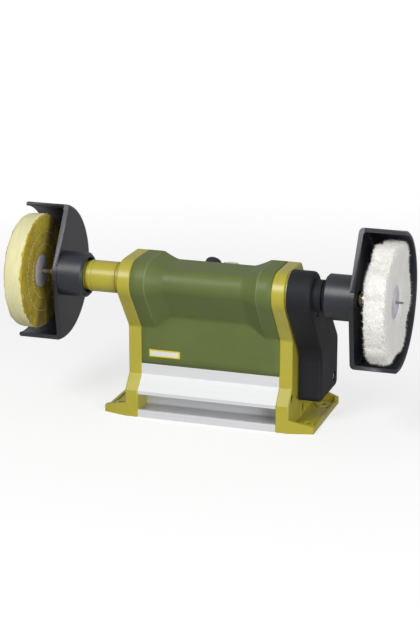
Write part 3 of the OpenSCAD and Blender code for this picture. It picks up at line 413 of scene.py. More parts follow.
FINISHES = {
    "bare_aluminium": finish("drawn aluminium", DRAWN, {}, ((232, 233, 235), (237, 237, 239)), (0.52, 0.58),
                             0.001 * MM, Metallic=0.2),
    "yellow_paint": paint("yellow enamel", (192, 182, 62), (186, 174, 52), (0.3, 0.37)),
    "green_plastic": plastic("green moulding", (104, 118, 61), (98, 112, 56), (0.45, 0.53),
                             Specular_IOR_Level=0.48),
    "black_plastic": plastic("black moulding", (34, 37, 47), (28, 30, 40), (0.36, 0.44), 0.03 * MM,
                             Specular_IOR_Level=0.8),
    "bearing_steel": steel("ground bearing steel", (214, 214, 216), (196, 196, 200), (0.12, 0.2)),
    "bright_steel": steel("turned steel", (196, 196, 198), (168, 168, 172)),
    "motor_steel": paint("motor can lacquer", (120, 122, 126), (106, 108, 112)),
    "cast_aluminium": finish("cast aluminium", SKIN, {"Grain per metre": 900.0},
                             ((176, 178, 182), (196, 198, 201)), (0.45, 0.6), 0.03 * MM, Metallic=0.9),
    "magnet_ferrite": plastic("ferrite", (66, 66, 70), (56, 56, 60), (0.6, 0.7)),
    "bronze": steel("sintered bronze", (190, 146, 86), (172, 128, 70), (0.35, 0.5)),
    "belt_rubber": plastic("belt rubber", (34, 34, 37), (28, 28, 30), (0.6, 0.75)),
    "gland_rubber": plastic("gland rubber", (42, 42, 45), (34, 34, 37), (0.55, 0.7)),
    "board_plastic": plastic("circuit board", (38, 108, 66), (30, 92, 54), (0.35, 0.45)),
    "control_metal": finish("stamped metal", SKIN, {}, ((150, 152, 154), (170, 172, 174)), (0.35, 0.45),
                            0.01 * MM, Metallic=1.0),
    "arbor_nickel": steel("arbor nickel", (196, 190, 168), (150, 144, 122), (0.2, 0.34)),
    "washer_steel": finish("pressed washer", SKIN, {"Grain per metre": 500.0, "Tone per metre": 90.0},
                           ((200, 197, 208), (236, 234, 240)), (0.35, 0.55), 0.05 * MM, Metallic=0.1),
    "yellow_cotton": cloth("yellow cotton", (212, 193, 48), (188, 165, 36), 1300.0, 0.1 * MM, 0.2, 0.08),
    "white_muslin": cloth("white muslin", (253, 252, 249), (246, 244, 238), 900.0, 0.08 * MM, 0.06),
    "copper_winding": steel("enamelled copper", (198, 118, 78), (176, 98, 60), (0.25, 0.4)),
    "knob_plastic": plastic("knob moulding", (46, 46, 58), (36, 36, 46), (0.18, 0.26), Coat_Weight=0.4),
    "rocker_plastic": plastic("rocker moulding", (196, 193, 182), (184, 180, 168)),
}
for part in frame["record"]["subparts"]:
    node = frame["nodes"][part["node"]]
    node.data.materials.clear()
    node.data.materials.append(FINISHES[part["material_slot"]])

# %% [markdown]
# ## Softened edges
#
# No real edge is perfectly sharp, and it is the thin highlight along an edge that makes a casting or a
# moulding look solid. Each visible rigid piece is copied, its loose triangles are joined, flat areas
# become single faces, and a Bevel modifier rounds every edge that turns by more than an angle.

# %% Softened edges
SHARP_TURN = math.radians(32)
ROUNDINGS = {
    "base_profile": 0.25, "left_end_plate": 0.6, "right_end_plate": 0.6, "belt_cover": 0.5,
    "left_spindle_tube": 0.25, "switch_body": 0.3, "switch_rocker": 0.3,
    "speed_knob": 0.2, "cable_gland": 0.3, "left_arbor": 0.1, "right_arbor": 0.1,
    "left_wheel_washers": 0.15, "right_wheel_washers": 0.15, "profile_screws": 0.15, "housing_screws": 0.15,
    "belt_cover_screws": 0.15,
}


def join_triangles(shape, reach, turn):
    """Merges the points that lie within reach, and dissolves edges that turn by less than so many degrees."""
    bmesh.ops.remove_doubles(shape, verts=shape.verts, dist=reach)
    bmesh.ops.dissolve_limit(shape, angle_limit=math.radians(turn), verts=shape.verts, edges=shape.edges)


def joined_copy(node, name):
    mesh = frame["nodes"][node].data.copy()
    with editing(mesh) as shape:
        join_triangles(shape, 0.002 * MM, 0.4)
    shade_smooth(mesh)
    return new_object(name, mesh)


def soften(node, radius, piece=None):
    """Shows a frame node with rounded edges, on the same body. A piece that is given has edge weights."""
    weighted = piece is not None
    piece = piece or joined_copy(node, node + "_soft")
    modify(piece, "rounded edges", "BEVEL", width=radius, segments=3, angle_limit=SHARP_TURN,
           limit_method="WEIGHT" if weighted else "ANGLE", miter_outer="MITER_ARC", use_clamp_overlap=True)
    modify(piece, "flat faces stay flat", "WEIGHTED_NORMAL", keep_sharp=True)
    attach(piece, frame["nodes"][node]["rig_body"])
    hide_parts(node)
    return piece


SOFTENED = {node_name: soften(node_name, radius_mm * MM) for node_name, radius_mm in ROUNDINGS.items()}
COVER_BLACK = plastic("matt black casting", (34, 35, 41), (29, 30, 35), (0.58, 0.66), 0.04 * MM)
SOFTENED["belt_cover"].data.materials[0] = COVER_BLACK
SOFTENED["switch_body"].data.materials[0] = FINISHES["rocker_plastic"]
print(len(SOFTENED), "pieces with softened edges")

# %% [markdown]
# ## Painted shade on the floor of the channel
#
# The floor of the base profile's two channels lies in shade, and that shade is painted: the floor is
# greyer than the faces round it. The profile gets its own copy of the drawn aluminium, and a mask from
# the height and from the distance to the middle keeps the painted shade to the floor.

# %% Painted shade on the channel floor
SHADE_LOW, SHADE_HIGH = 4.9 * MM, 6.0 * MM
LIP_START, LIP_END = 44.3 * MM, 44.6 * MM
SHADE_SHARE = 0.55


def paint_channel_shade(material):
    material = having(material.copy(), name="drawn aluminium, painted channel shade")
    tree = material.node_tree
    y, z = split(tree, object_place(tree))[1:]
    on_floor = ramp(tree, z, SHADE_LOW, SHADE_HIGH, SHADE_SHARE, 0.0)
    behind_lip = ramp(tree, abs(y), LIP_START, LIP_END, 1.0, 0.0)
    # painted shade: a grey mixed over the channel floor where it lies in shade
    tint(material, on_floor * behind_lip, (150, 153, 157))
    return material


SOFTENED["base_profile"].data.materials[0] = paint_channel_shade(FINISHES["bare_aluminium"])
print("channel floor greyed on", SOFTENED["base_profile"].name)

# %% [markdown]
# ## Hoods in one piece
#
# Each hood is one black moulding, though the frame holds it as a plate with its hub and a rim that are
# pressed together. A Boolean modifier unites the two closed meshes, so no seam shows. The rim's seam is
# moved a little into the plate first, because faces that only touch give a union nothing to cut. The
# bevel then works by edge weight: the hub meets the plate close to another edge, and a bevel there
# would have no room.

# %% Where the hoods are joined
HOOD_SEAM = 53.9 * MM
SEAM_REACH = 0.2 * MM
SEAM_DEPTH = 0.3 * MM
HUB_R = 19.3 * MM
HUB_ROOM = 1.2 * MM


def from_spindle(point):
    return point - on_spindle(point.x)


def sink_seam(rim):
    """Moves the rim's seam into the plate, but not out of the two end faces at the hood's opening."""
    # an end face looks neither along the spindle nor straight out from it
    opening = Vector((0, 0, 0))
    for face in rim.data.polygons:
        outward = from_spindle(face.center).normalized()
        if abs(face.normal.x) < 0.02 and abs(face.normal.dot(outward)) < 0.9:
            opening += face.normal * face.area
    opening.normalize()
    for vertex in rim.data.vertices:
        away = from_spindle(vertex.co)
        if away.length < HOOD_SEAM + SEAM_REACH:
            inward = away - opening * away.dot(opening)
            vertex.co -= inward.normalized() * SEAM_DEPTH


def weigh_edges(shape):
    """Marks the convex edges outside the hub for the bevel, and keeps the other sharp ones sharp."""
    weight = shape.edges.layers.float.new("bevel_weight_edge")
    for edge in shape.edges:
        if len(edge.link_faces) != 2 or edge.calc_face_angle(0) < SHARP_TURN:
            continue
        reach = max(from_spindle(vertex.co).length for vertex in edge.verts)
        rounded = edge.is_convex and reach > HUB_R + HUB_ROOM
        edge[weight] = 1 if rounded else 0
        edge.smooth = rounded


# %% Hoods in one piece
def whole_hood(side):
    """The plate with its hub and the rim melt into one moulding: a union of the two closed meshes."""
    plate = joined_copy(side + "_hood", side + "_hood_whole")
    rim = joined_copy(side + "_hood_rim", side + " rim")
    sink_seam(rim)
    modify(plate, "union", "BOOLEAN", operation="UNION", solver="EXACT", object=rim)
    mesh = evaluated_mesh(plate)
    plate.modifiers.clear()
    bpy.data.objects.remove(rim)
    with editing(mesh) as shape:
        join_triangles(shape, 0.03 * MM, 0.6)
        weigh_edges(shape)
    plate.data = mesh
    soften(side + "_hood", 0.45 * MM, piece=plate)
    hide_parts(side + "_hood_rim")
    return plate


for side in ("left", "right"):
    hood = whole_hood(side)
    print(side, "hood faces:", len(hood.data.polygons))

# %% [markdown]
# ## The moulded housing
#
# The housing is one green moulding. Its section is an upright skirt, a flank that leans out to a round
# head, a flat top and a flank behind. Along the spindle the head and the flanks sink from the two
# flared ends to a lower waist, while the skirt stays where it is, so the creases run together where
# flank and skirt meet. A formula gives each ring of points: it is quicker and truer than pushing
# vertices by hand, and the rings can be as close as the highlights need.

# %% Sizes of the housing
shell_low, shell_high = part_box("housing_shell")
HOUSING_HALF = shell_high.x
SKIRT = shell_high.y
HEAD = 19.1 * MM
REAR_REACH = 38.5 * MM
FLANK = math.radians(53.4)
WAIST_DROP = 6.3 * MM
WAIST_CURVE = 1.25
FLARE = 13 * MM
BLEND = 15.5 * MM
FLAT = 0.7 * MM
KNEE = 5.5 * MM
KNEE_ROOM = 12 * MM
KNEE_GROWTH = 0.3
TOP_EDGE = 7.5 * MM
TOP_SHRINKING = 0.5
LEAST_ROUND = 1 * MM
END_ROUND = 0.35 * MM
WALL = 2.4 * MM
CORNER_STEPS = 10
HEAD_STEPS = 40
BLEND_STEPS = 40
BLEND_LEAD, BLEND_TAIL = 1.5 * MM, 2 * MM
END_STEP = 0.4 * MM
print("housing is", round(2 * HOUSING_HALF / MM), "mm long")


# %% Lines and rounds of a section
def spaced(start, end, steps):
    return [start + (end - start) * i / steps for i in range(steps + 1)]


def arc_points(centre, radius, start, end, steps):
    """Points of an arc in the side view, angles in radians."""
    return [Vector((centre.x + radius * math.cos(a), centre.y + radius * math.sin(a)))
            for a in spaced(start, end, steps)]


def upright_points(across, start, end, steps):
    return [Vector((across, height)) for height in spaced(start, end, steps)]


def round_corner(before, corner, after, radius):
    """Points that round a corner between its two neighbours."""
    to_before = (before - corner).normalized()
    to_after = (after - corner).normalized()
    half = to_before.angle(to_after) / 2
    centre = corner + (to_before + to_after).normalized() * radius / math.sin(half)
    first = corner + to_before * radius / math.tan(half) - centre
    last = corner + to_after * radius / math.tan(half) - centre
    start = math.atan2(first.y, first.x)
    turn = (math.atan2(last.y, last.x) - start + 3 * math.pi) % (2 * math.pi) - math.pi
    return arc_points(centre, radius, start, start + turn, CORNER_STEPS)


# %% Section of the housing
def housing_section(inset, drop):
    """The open outline from the foot of the front skirt over the head to the foot of the rear one."""
    axis = Vector((SPINDLE.y, SPINDLE.z))
    depth = inset + drop
    radius = HEAD - depth
    crown = radius - max(FLAT - drop, 0)
    reach = REAR_REACH - depth
    front, rear = -SKIRT + inset, SKIRT - inset
    foot = shell_low.z
    front_knee = Vector((front, axis.y - (radius + math.sin(FLANK) * (front - axis.x)) / math.cos(FLANK)))
    rear_knee = Vector((rear, axis.y + (reach - math.sin(FLANK) * (rear - axis.x)) / math.cos(FLANK)))
    top = axis.y + crown
    top_corner = Vector((axis.x + (reach - math.cos(FLANK) * crown) / math.sin(FLANK), top))
    under_head = axis - radius * Vector((math.sin(FLANK), math.cos(FLANK)))
    points = upright_points(front, foot, front_knee.y - KNEE_ROOM, 4)
    points += round_corner(points[0], front_knee, under_head, KNEE + depth * KNEE_GROWTH)
    for p in arc_points(axis, radius, 1.5 * math.pi - FLANK, 0.5 * math.pi, HEAD_STEPS):
        height = max(p.y - axis.y, 0) * crown / radius + min(p.y - axis.y, 0)
        points.append(Vector((p.x, axis.y + height)))
    top_round = max(TOP_EDGE - depth * TOP_SHRINKING, LEAST_ROUND)
    points += round_corner(Vector((axis.x, top)), top_corner, rear_knee, top_round)
    knee_round = max(KNEE - depth * KNEE_GROWTH, LEAST_ROUND)
    points += round_corner(top_corner, rear_knee, Vector((rear, foot)), knee_round)
    points += upright_points(rear, rear_knee.y - KNEE_ROOM, foot, 3)
    return points


print("points in one section:", len(housing_section(0, 0)))


# %% Fall of the housing towards its waist
CREASE_SOFT = 0.35 * MM
CREASE_STEPS = 8


def sharp_fall(x):
    share = min(max((HOUSING_HALF - FLARE - abs(x)) / BLEND, 0), 1)
    return WAIST_DROP * (1 - (1 - share) ** WAIST_CURVE)


def fall(x):
    """The fall averaged over a short stretch, which rounds its crease at the flared end."""
    samples = spaced(x - CREASE_SOFT, x + CREASE_SOFT, CREASE_STEPS)
    return sum(map(sharp_fall, samples)) / len(samples)


def housing_stations():
    """Places of the rings along X: close together over the blend, wide apart elsewhere."""
    blend_start = HOUSING_HALF - FLARE + BLEND_LEAD
    blend_end = HOUSING_HALF - FLARE - BLEND - BLEND_TAIL
    half = [HOUSING_HALF, HOUSING_HALF - END_STEP, HOUSING_HALF - FLARE * 0.5]
    half += spaced(blend_start, blend_end, BLEND_STEPS)
    half += [blend_end * 0.66, blend_end * 0.33]
    return [-x for x in half] + [0.0] + half[::-1]


# %% Painted highlight along the creases
HIGHLIGHT_WIDTH = (0.18 * MM, 0.6 * MM)
HIGHLIGHT_SHARE = 0.35
HIGHLIGHT_HEIGHT = (88 * MM, 92 * MM)


def paint_crease_highlight(material):
    """A copy of a material with a painted highlight: a little lighter along the crease where each flared end
    begins.
    """
    material = having(material.copy(), name="green moulding, painted crease highlight")
    tree = material.node_tree
    x, z = split(tree, object_place(tree))[::2]
    away = abs(abs(x) - (HOUSING_HALF - FLARE))
    line = ramp(tree, away, *HIGHLIGHT_WIDTH, HIGHLIGHT_SHARE, 0.0)
    # painted highlight: the light line that the convex crease would catch from the lamps
    tint(material, line * ramp(tree, z, *HIGHLIGHT_HEIGHT), (160, 172, 122))
    return material


# %% Build the housing
def build_housing():
    mesh = bpy.data.meshes.new("housing")
    with editing(mesh) as shape:
        rings = []
        for x in housing_stations():
            inset = END_ROUND if abs(x) > HOUSING_HALF - 0.1 * MM else 0
            rings.append([shape.verts.new((x, p.x, p.y)) for p in housing_section(inset, fall(x))])
        bridge(shape, rings)
        bmesh.ops.recalc_face_normals(shape, faces=shape.faces)
    shade_smooth(mesh)
    top_face = max(mesh.polygons, key=lambda p: p.center.z)
    if top_face.normal.z < 0:
        mesh.flip_normals()
    housing = new_object("housing", mesh)
    modify(housing, "wall", "SOLIDIFY", thickness=WALL, offset=-1)
    mesh.materials.append(paint_crease_highlight(FINISHES["green_plastic"]))
    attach(housing, "frame")
    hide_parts("housing_shell")
    return housing


housing = build_housing()
print("housing faces:", len(housing.data.polygons))

# %% [markdown]
# ## The bare plate
#
# Low on the skirt, near the left end, the real machine carries a small plate with a bright border. It
# stays bare here: a white field in a yellow rim, pressed from thin sheet. Nested rectangles at
# different heights make the rim and the sunk field.

# %% Bare plate
PLATE_LEFT, PLATE_RIGHT = -55.3 * MM, -27 * MM
PLATE_LOW, PLATE_TOP = 53 * MM, 59.6 * MM
PLATE_RIM = 1.05 * MM
PLATE_THICK = 0.5 * MM
PLATE_EDGE = 0.1 * MM


def build_plate():
    steps = [(0.0, 0.0), (0.0, PLATE_THICK - PLATE_EDGE), (PLATE_EDGE, PLATE_THICK), (PLATE_RIM, PLATE_THICK),
             (PLATE_RIM + PLATE_EDGE, PLATE_THICK - 2 * PLATE_EDGE)]
    mesh = bpy.data.meshes.new("bare_plate")
    with editing(mesh) as shape:
        rings = []
        for inset, height in steps:
            x0, x1, z0, z1 = PLATE_LEFT + inset, PLATE_RIGHT - inset, PLATE_LOW + inset, PLATE_TOP - inset
            corners = ((x0, z0), (x1, z0), (x1, z1), (x0, z1))
            rings.append([shape.verts.new((x, -SKIRT - height, z)) for x, z in corners])
        bridge(shape, rings, closed=True)
        shape.faces.new(rings[-1]).material_index = 1
        shape.faces.new(rings[0][::-1])
        bmesh.ops.recalc_face_normals(shape, faces=shape.faces)
    plate = new_object("bare_plate", mesh)
    mesh.materials.append(paint("plate rim yellow", (236, 214, 52), (228, 204, 44)))
    mesh.materials.append(paint("plate field white", (244, 243, 236), (236, 235, 228)))
    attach(plate, "frame")
    return plate


build_plate()
print("plate:", round((PLATE_RIGHT - PLATE_LEFT) / MM, 1), "x", round((PLATE_TOP - PLATE_LOW) / MM, 1), "mm")

# %% [markdown]
# ## Cloth wheels
#
# A buffing wheel is a stack of cloth discs. The cotton one is sewn in rings, so its faces swell
# between the seams, and its cut edge is dense and pale. The muslin one is loose: its torn edges wander
# and fray. Both follow one rule, so one Geometry Nodes tree makes both. It bends a flat grid into a
# closed disc, and moves every point by the rule: `u` runs from the middle of one face over the rim to
# the middle of the other, and `v` runs round the wheel.


# %% Start and end of a geometry tree
def geometry_tree(name, inputs):
    """A new tree with named inputs, whose kind follows from their first value. None stands for a material."""
    kinds = {float: "NodeSocketFloat", int: "NodeSocketInt", type(None): "NodeSocketMaterial"}
    tree = bpy.data.node_groups.new(name, "GeometryNodeTree")
    for in_out in ("INPUT", "OUTPUT"):
        tree.interface.new_socket("Geometry", in_out=in_out, socket_type="NodeSocketGeometry")
    for label, value in inputs.items():
        socket = tree.interface.new_socket(label, in_out="INPUT", socket_type=kinds[type(value)])
        if value is not None:
            socket.default_value = value
    return tree, given_wires(tree)


def end_tree(tree, geometry, material, smooth=True):
    """Makes instances real, shades them smooth if asked, sets the material and puts the result out."""
    last = add_node(tree, "GeometryNodeRealizeInstances", {0: geometry}).outputs[0]
    if smooth:
        last = add_node(tree, "GeometryNodeSetShadeSmooth", {0: last}).outputs[0]
    last = add_node(tree, "GeometryNodeSetMaterial", {"Geometry": last, "Material": material}).outputs[0]
    feed(tree, tree.nodes.new("NodeGroupOutput"), {0: last})
    return tree


# %% Corners and leaning layers of a loose wheel
CORNERS = ((-180, -0.6), (-165, -0.5), (-145, -0.1), (-118, 1), (-90, -0.9), (-60, 1), (-35, -0.7), (-10, 1),
           (20, -0.9), (55, 1), (80, -0.9), (105, 0.5), (125, -0.4), (146, 0.9), (165, -0.4), (180, -0.6))
SWAY = ((-180, -0.8), (-165, -0.6), (-140, -0.1), (-100, 0.2), (-60, 0.3), (0, -0.3), (60, 0.5), (100, 0),
        (130, -0.6), (150, -1), (168, -0.9), (180, -0.8))


def round_the_wheel(tree, turn_share, stops):
    """A value from -1 to 1 that follows given stops (degrees, value) round the wheel."""
    curve = add_node(tree, "ShaderNodeFloatCurve", {"Value": turn_share})
    points = curve.mapping.curves[0].points
    while len(points) < len(stops):
        points.new(0.5, 0.5)
    for i, (degrees, value) in enumerate(stops):
        points[i].location = (0.5 + degrees / 360, 0.5 + value / 2)
    curve.mapping.update()
    return Wire(tree, curve.outputs[0]) * 2.0 - 1.0


# %% Places on the grid
RIM_SHARE = 0.3
STEPS_ACROSS = 121


def grid_places(tree):
    """Where a point of the grid comes to lie: its side, how far across the rim, how far out, and its turn."""
    u, v = split(tree, tree.nodes.new("GeometryNodeInputPosition").outputs[0])[:2]
    along = u * 2.0
    angle = v * (2 * math.pi)
    return {"side": maths(tree, "SIGN", along), "across": maths(tree, "MINIMUM", abs(along) / RIM_SHARE, 1.0),
            "outward": 1.0 - ramp(tree, abs(along), RIM_SHARE, 1.0), "turn": v + 0.5,
            "cosine": maths(tree, "COSINE", angle), "sine": maths(tree, "SINE", angle)}


# %% Outline of a cloth wheel
LAYER_CHANGE = 1.6
FLATS_SHARE = 0.25
FACE_TEAR = 0.35


def wheel_radius(tree, given, at):
    """The radius of each point, and its share of the whole radius before the edge was torn."""
    radius = (given["Radius"] - given["Edge round"] * at["across"] ** 5.0) * at["outward"]
    share = radius / given["Radius"]
    strength = share ** 12.0
    # torn edge: noise that changes from layer to layer and round the wheel, weaker where the faces begin
    layer = at["across"] * at["side"] * LAYER_CHANGE
    spot = join(tree, layer, at["cosine"], at["sine"])
    tear = noise(tree, spot, given["Tears"], 4.0, given["Tear detail"], W=given["Seed"])
    outermost = FACE_TEAR + (1 - FACE_TEAR) * at["across"] ** 3.0
    radius += (tear - 0.5) * 2.0 * (given["Torn"] * (strength * outermost))
    # ragged outline: broad flats from slow noise, and corners at given turns
    slow = join(tree, layer * FLATS_SHARE, at["cosine"], at["sine"])
    flats = noise(tree, slow, 2.2, 1.0, W=given["Seed"])
    radius += (flats - 0.5) * (given["Ragged"] * strength)
    radius += round_the_wheel(tree, at["turn"], CORNERS) * given["Corners"] * strength
    return radius, share


# %% Faces of a cloth wheel
SEAMS = (0.47, 0.69)
SEAM_WIDTH = 0.035
DISH_EDGE = (15 * MM, 23 * MM)
HOLLOW_EDGE = (14.7 * MM, 15.8 * MM)


def face_relief(tree, given, at, radius, share):
    """How far a face stands out: creased towards the rim, sunk along the seams and towards the washer."""
    seams = 0.0
    for seam in SEAMS:
        away = (share - seam) / SEAM_WIDTH
        seams += maths(tree, "EXPONENT", away * away * -1.0)
    ray = join(tree, share * 1.2, at["cosine"], at["sine"])
    crease = noise(tree, ray, 3.2, 3.0, W=given["Seed"])
    relief = (crease - 0.5) * (given["Creases"] * share ** 1.5) - given["Swell"] * seams
    # a soft dish round the washer, then a steep hollow that takes it
    dish = ramp(tree, radius, *DISH_EDGE, 1.0, 0.0, "SMOOTHSTEP")
    hollow = ramp(tree, radius, *HOLLOW_EDGE, 1.0, 0.0)
    return relief - (given["Dish"] * dish + given["Washer hollow"] * hollow)


# %% Tree for a cloth wheel
def wheel_tree():
    tree, given = geometry_tree("cloth wheel", {
        "Radius": 0.05, "Half width": 0.008, "Edge round": 0.002, "Torn": 0.001, "Tears": 120.0,
        "Tear detail": 0.6, "Steps round": 401, "Swell": 0.0006, "Creases": 0.0008, "Dish": 0.0012,
        "Washer hollow": 0.0019, "Ragged": 0.0, "Corners": 0.0, "Sway": 0.0, "Seed": 0.0, "Material": None})
    grid = add_node(tree, "GeometryNodeMeshGrid", {"Size X": 1.0, "Size Y": 1.0, "Vertices X": STEPS_ACROSS,
                                                   "Vertices Y": given["Steps round"]})
    at = grid_places(tree)
    radius, share = wheel_radius(tree, given, at)
    relief = face_relief(tree, given, at, radius, share)
    half = given["Half width"] + relief * at["across"] ** 6.0
    sway = round_the_wheel(tree, at["turn"], SWAY) * given["Sway"] * share ** 4.0
    point = join(tree, at["across"] * at["side"] * half + sway, radius * at["cosine"], radius * at["sine"])
    moved = add_node(tree, "GeometryNodeSetPosition", {"Geometry": grid.outputs[0], "Position": point})
    closed = add_node(tree, "GeometryNodeMergeByDistance", {
        "Geometry": moved.outputs[0], "Distance": 0.02 * MM})
    return end_tree(tree, closed.outputs[0], given["Material"])


WHEEL_TREE = wheel_tree()
print("wheel tree:", len(WHEEL_TREE.nodes), "nodes")


# %% Run a tree and keep its mesh
def grown(name, tree, values, base=None):
    """Runs a tree on an object, with its inputs set by name, and returns the result as a plain mesh."""
    carrier = new_object(name + " carrier", base or bpy.data.meshes.new(name + " base"))
    modifier = modify(carrier, "tree", "NODES", node_group=tree)
    for item in tree.interface.items_tree:
        if item.item_type == "SOCKET" and item.in_out == "INPUT" and item.name in values:
            modifier[item.identifier] = values[item.name]
    mesh = evaluated_mesh(carrier)
    mesh.name = name
    bpy.data.objects.remove(carrier)
    return mesh


def show(name, mesh, body, replaced=None):
    piece = new_object(name, mesh)
    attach(piece, body)
    if replaced:
        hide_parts(replaced)
    return piece


# %% [markdown]
# ## Painted fold shade and cut edges of the cloth
#
# The discs of a buffing wheel are gathered into folds that run outwards like spokes, and the shade in
# the folds is painted into the colour as darker spokes. Where the discs are cut off, the pale ends of all
# the layers show. Both follow from where a point lies in the wheel: how far across it, how far out and in
# which direction. Object coordinates give that, less the wheel's middle.


# %% Places in a wheel
def wheel_places(tree, centre_x):
    """Across, spoke, radius and heading: where a point lies from the middle of a wheel."""
    from_middle = vector_maths(tree, "SUBTRACT", object_place(tree), on_spindle(centre_x))
    across, y, z = split(tree, from_middle)
    spoke = join(tree, 0.0, y, z)
    return {"across": across, "spoke": spoke, "radius": vector_maths(tree, "LENGTH", spoke),
            "heading": vector_maths(tree, "NORMALIZE", spoke)}


def spoke_direction(turn):
    """The direction from the spindle of a fold, its turn in degrees from straight up towards the rear."""
    return (0, math.sin(math.radians(turn)), math.cos(math.radians(turn)))


# %% Painted shade of radial folds
FOLD_SHADE_RANGE = (0.42, 0.64)
FOLD_SHADE_DRIFT = 30.0
DEEP_FOLD_SHADE_START = (14 * MM, 34 * MM)


def paint_fold_shade(material, centre_x, shade, strength, deep=()):
    """Painted shade of folds: soft from noise that changes round the wheel, and deep at given turns, with
    their widths.
    """
    tree = material.node_tree
    at = wheel_places(tree, centre_x)
    place = vector_maths(tree, "ADD", at["heading"], join(tree, at["radius"] * FOLD_SHADE_DRIFT))
    amount = ramp(tree, noise(tree, place, 2.3, 3.0, 0.55), *FOLD_SHADE_RANGE, 0.0, strength)
    reach = ramp(tree, at["radius"], *DEEP_FOLD_SHADE_START)
    for turn, width in deep:
        along = vector_maths(tree, "DOT_PRODUCT", at["heading"], spoke_direction(turn))
        crease = ramp(tree, along, math.cos(math.radians(width)), 1.0, kind="SMOOTHSTEP")
        amount = maths(tree, "MAXIMUM", amount, crease * reach)
    # painted shade: the folds are darkened with the shade colour
    tint(material, amount, shade)


# %% Pale cut edge
OUTER_SIDE = (-1 * MM, 1 * MM)
PALE_FROM = (47.4 * MM, 42.5 * MM)
PALE_GROWTH = 1.2 * MM
FACE_GROWTH = 0.4 * MM
WAVE_DEPTH = (0.2 * MM, 2.2 * MM)
LAYERS_PER_METRE = 1500.0


def add_cut_edge(material, centre_x, half, light, dark):
    """The pale rim where the discs end: fine lines of the layers, with a wavy limit to the folded faces."""
    tree = material.node_tree
    at = wheel_places(tree, centre_x)
    wave = noise(tree, at["spoke"], 75.0, 3.0, 0.6)
    limit = ramp(tree, wave, *TONE_RANGE, *WAVE_DEPTH) * ramp(tree, at["across"], *OUTER_SIDE, 0.15, 1.0)
    inside = ramp(tree, half - abs(at["across"]) - limit, 0.0, FACE_GROWTH)
    start = ramp(tree, at["across"], *OUTER_SIDE, *PALE_FROM)
    outer = ramp(tree, at["radius"] - start, 0.0, PALE_GROWTH)
    layers = join(tree, at["across"] * LAYERS_PER_METRE)
    place = vector_maths(tree, "ADD", layers, vector_maths(tree, "SCALE", at["spoke"], 60.0))
    tone = ramp(tree, noise(tree, place, 1.0, 3.0), 0.3, 0.55)
    tint(material, inside * outer, blend_colours(tree, tone, dark, light))


# %% Grow the two wheels
def wheel_place(node):
    low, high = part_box(node)
    return (low.x + high.x) / 2, (high.x - low.x) / 2


cotton_x, cotton_half = wheel_place("cotton_buffing_wheel")
muslin_x, muslin_half = wheel_place("muslin_buffing_wheel")
WHEEL_R = 50 * MM
COTTON_FOLD_SHADES = ((28, 13), (-166, 17), (74, 11))
COTTON = FINISHES["yellow_cotton"]
MUSLIN = FINISHES["white_muslin"]
# painted shade: darker colour in the folds of both wheels stands in for the shade there
paint_fold_shade(COTTON, cotton_x, (122, 98, 18), 0.5, COTTON_FOLD_SHADES)
add_cut_edge(COTTON, cotton_x, cotton_half, (242, 237, 186), (228, 221, 160))
paint_fold_shade(MUSLIN, muslin_x, (230, 225, 216), 0.3)
cotton_mesh = grown("cotton wheel", WHEEL_TREE, {
    "Radius": WHEEL_R - 0.4 * MM, "Half width": cotton_half - 0.2 * MM, "Edge round": 1.0 * MM,
    "Torn": 0.7 * MM, "Tears": 7.0, "Swell": 0.5 * MM, "Creases": 3.0 * MM, "Ragged": 1.2 * MM,
    "Sway": 0.3 * MM, "Seed": 3.0, "Material": COTTON})
muslin_mesh = grown("muslin wheel", WHEEL_TREE, {
    "Radius": WHEEL_R - 1.6 * MM, "Half width": muslin_half - 0.5 * MM, "Edge round": 1.2 * MM,
    "Torn": 4.6 * MM, "Tears": 16.0, "Tear detail": 0.75, "Steps round": 651, "Swell": 0.2 * MM,
    "Creases": 3.0 * MM, "Ragged": 3.0 * MM, "Corners": 3.8 * MM, "Sway": 0.5 * MM, "Seed": 8.0,
    "Material": MUSLIN})
for mesh, x in ((cotton_mesh, cotton_x), (muslin_mesh, muslin_x)):
    mesh.transform(Matrix.Translation(on_spindle(x)))
    with editing(mesh) as shape:
        bmesh.ops.recalc_face_normals(shape, faces=shape.faces)
show("cotton_wheel", cotton_mesh, "spindle", "cotton_buffing_wheel")
show("muslin_wheel", muslin_mesh, "spindle", "muslin_buffing_wheel")
print("wheel faces:", len(cotton_mesh.polygons), len(muslin_mesh.polygons))

# %% [markdown]
# ## Frayed threads
#
# Torn cloth ends in loose threads, and on the white wheel they make the whole outline fuzzy. Points are
# scattered over the rim with a fixed seed, and each one gets a thin three-sided spike that stands out
# of the cloth with a random lean and length. Spikes of three faces keep thousands of them light. Broad,
# flat ones near both edges of the white wheel's rim make its tufts.

# %% Tree for frayed threads
SHORTEST, LONGEST = 0.35, 1.0
LENGTH_SEED = 7
LEAST_LEAN, MOST_LEAN = (-1, -1, 0), (1, 1, 6.28)


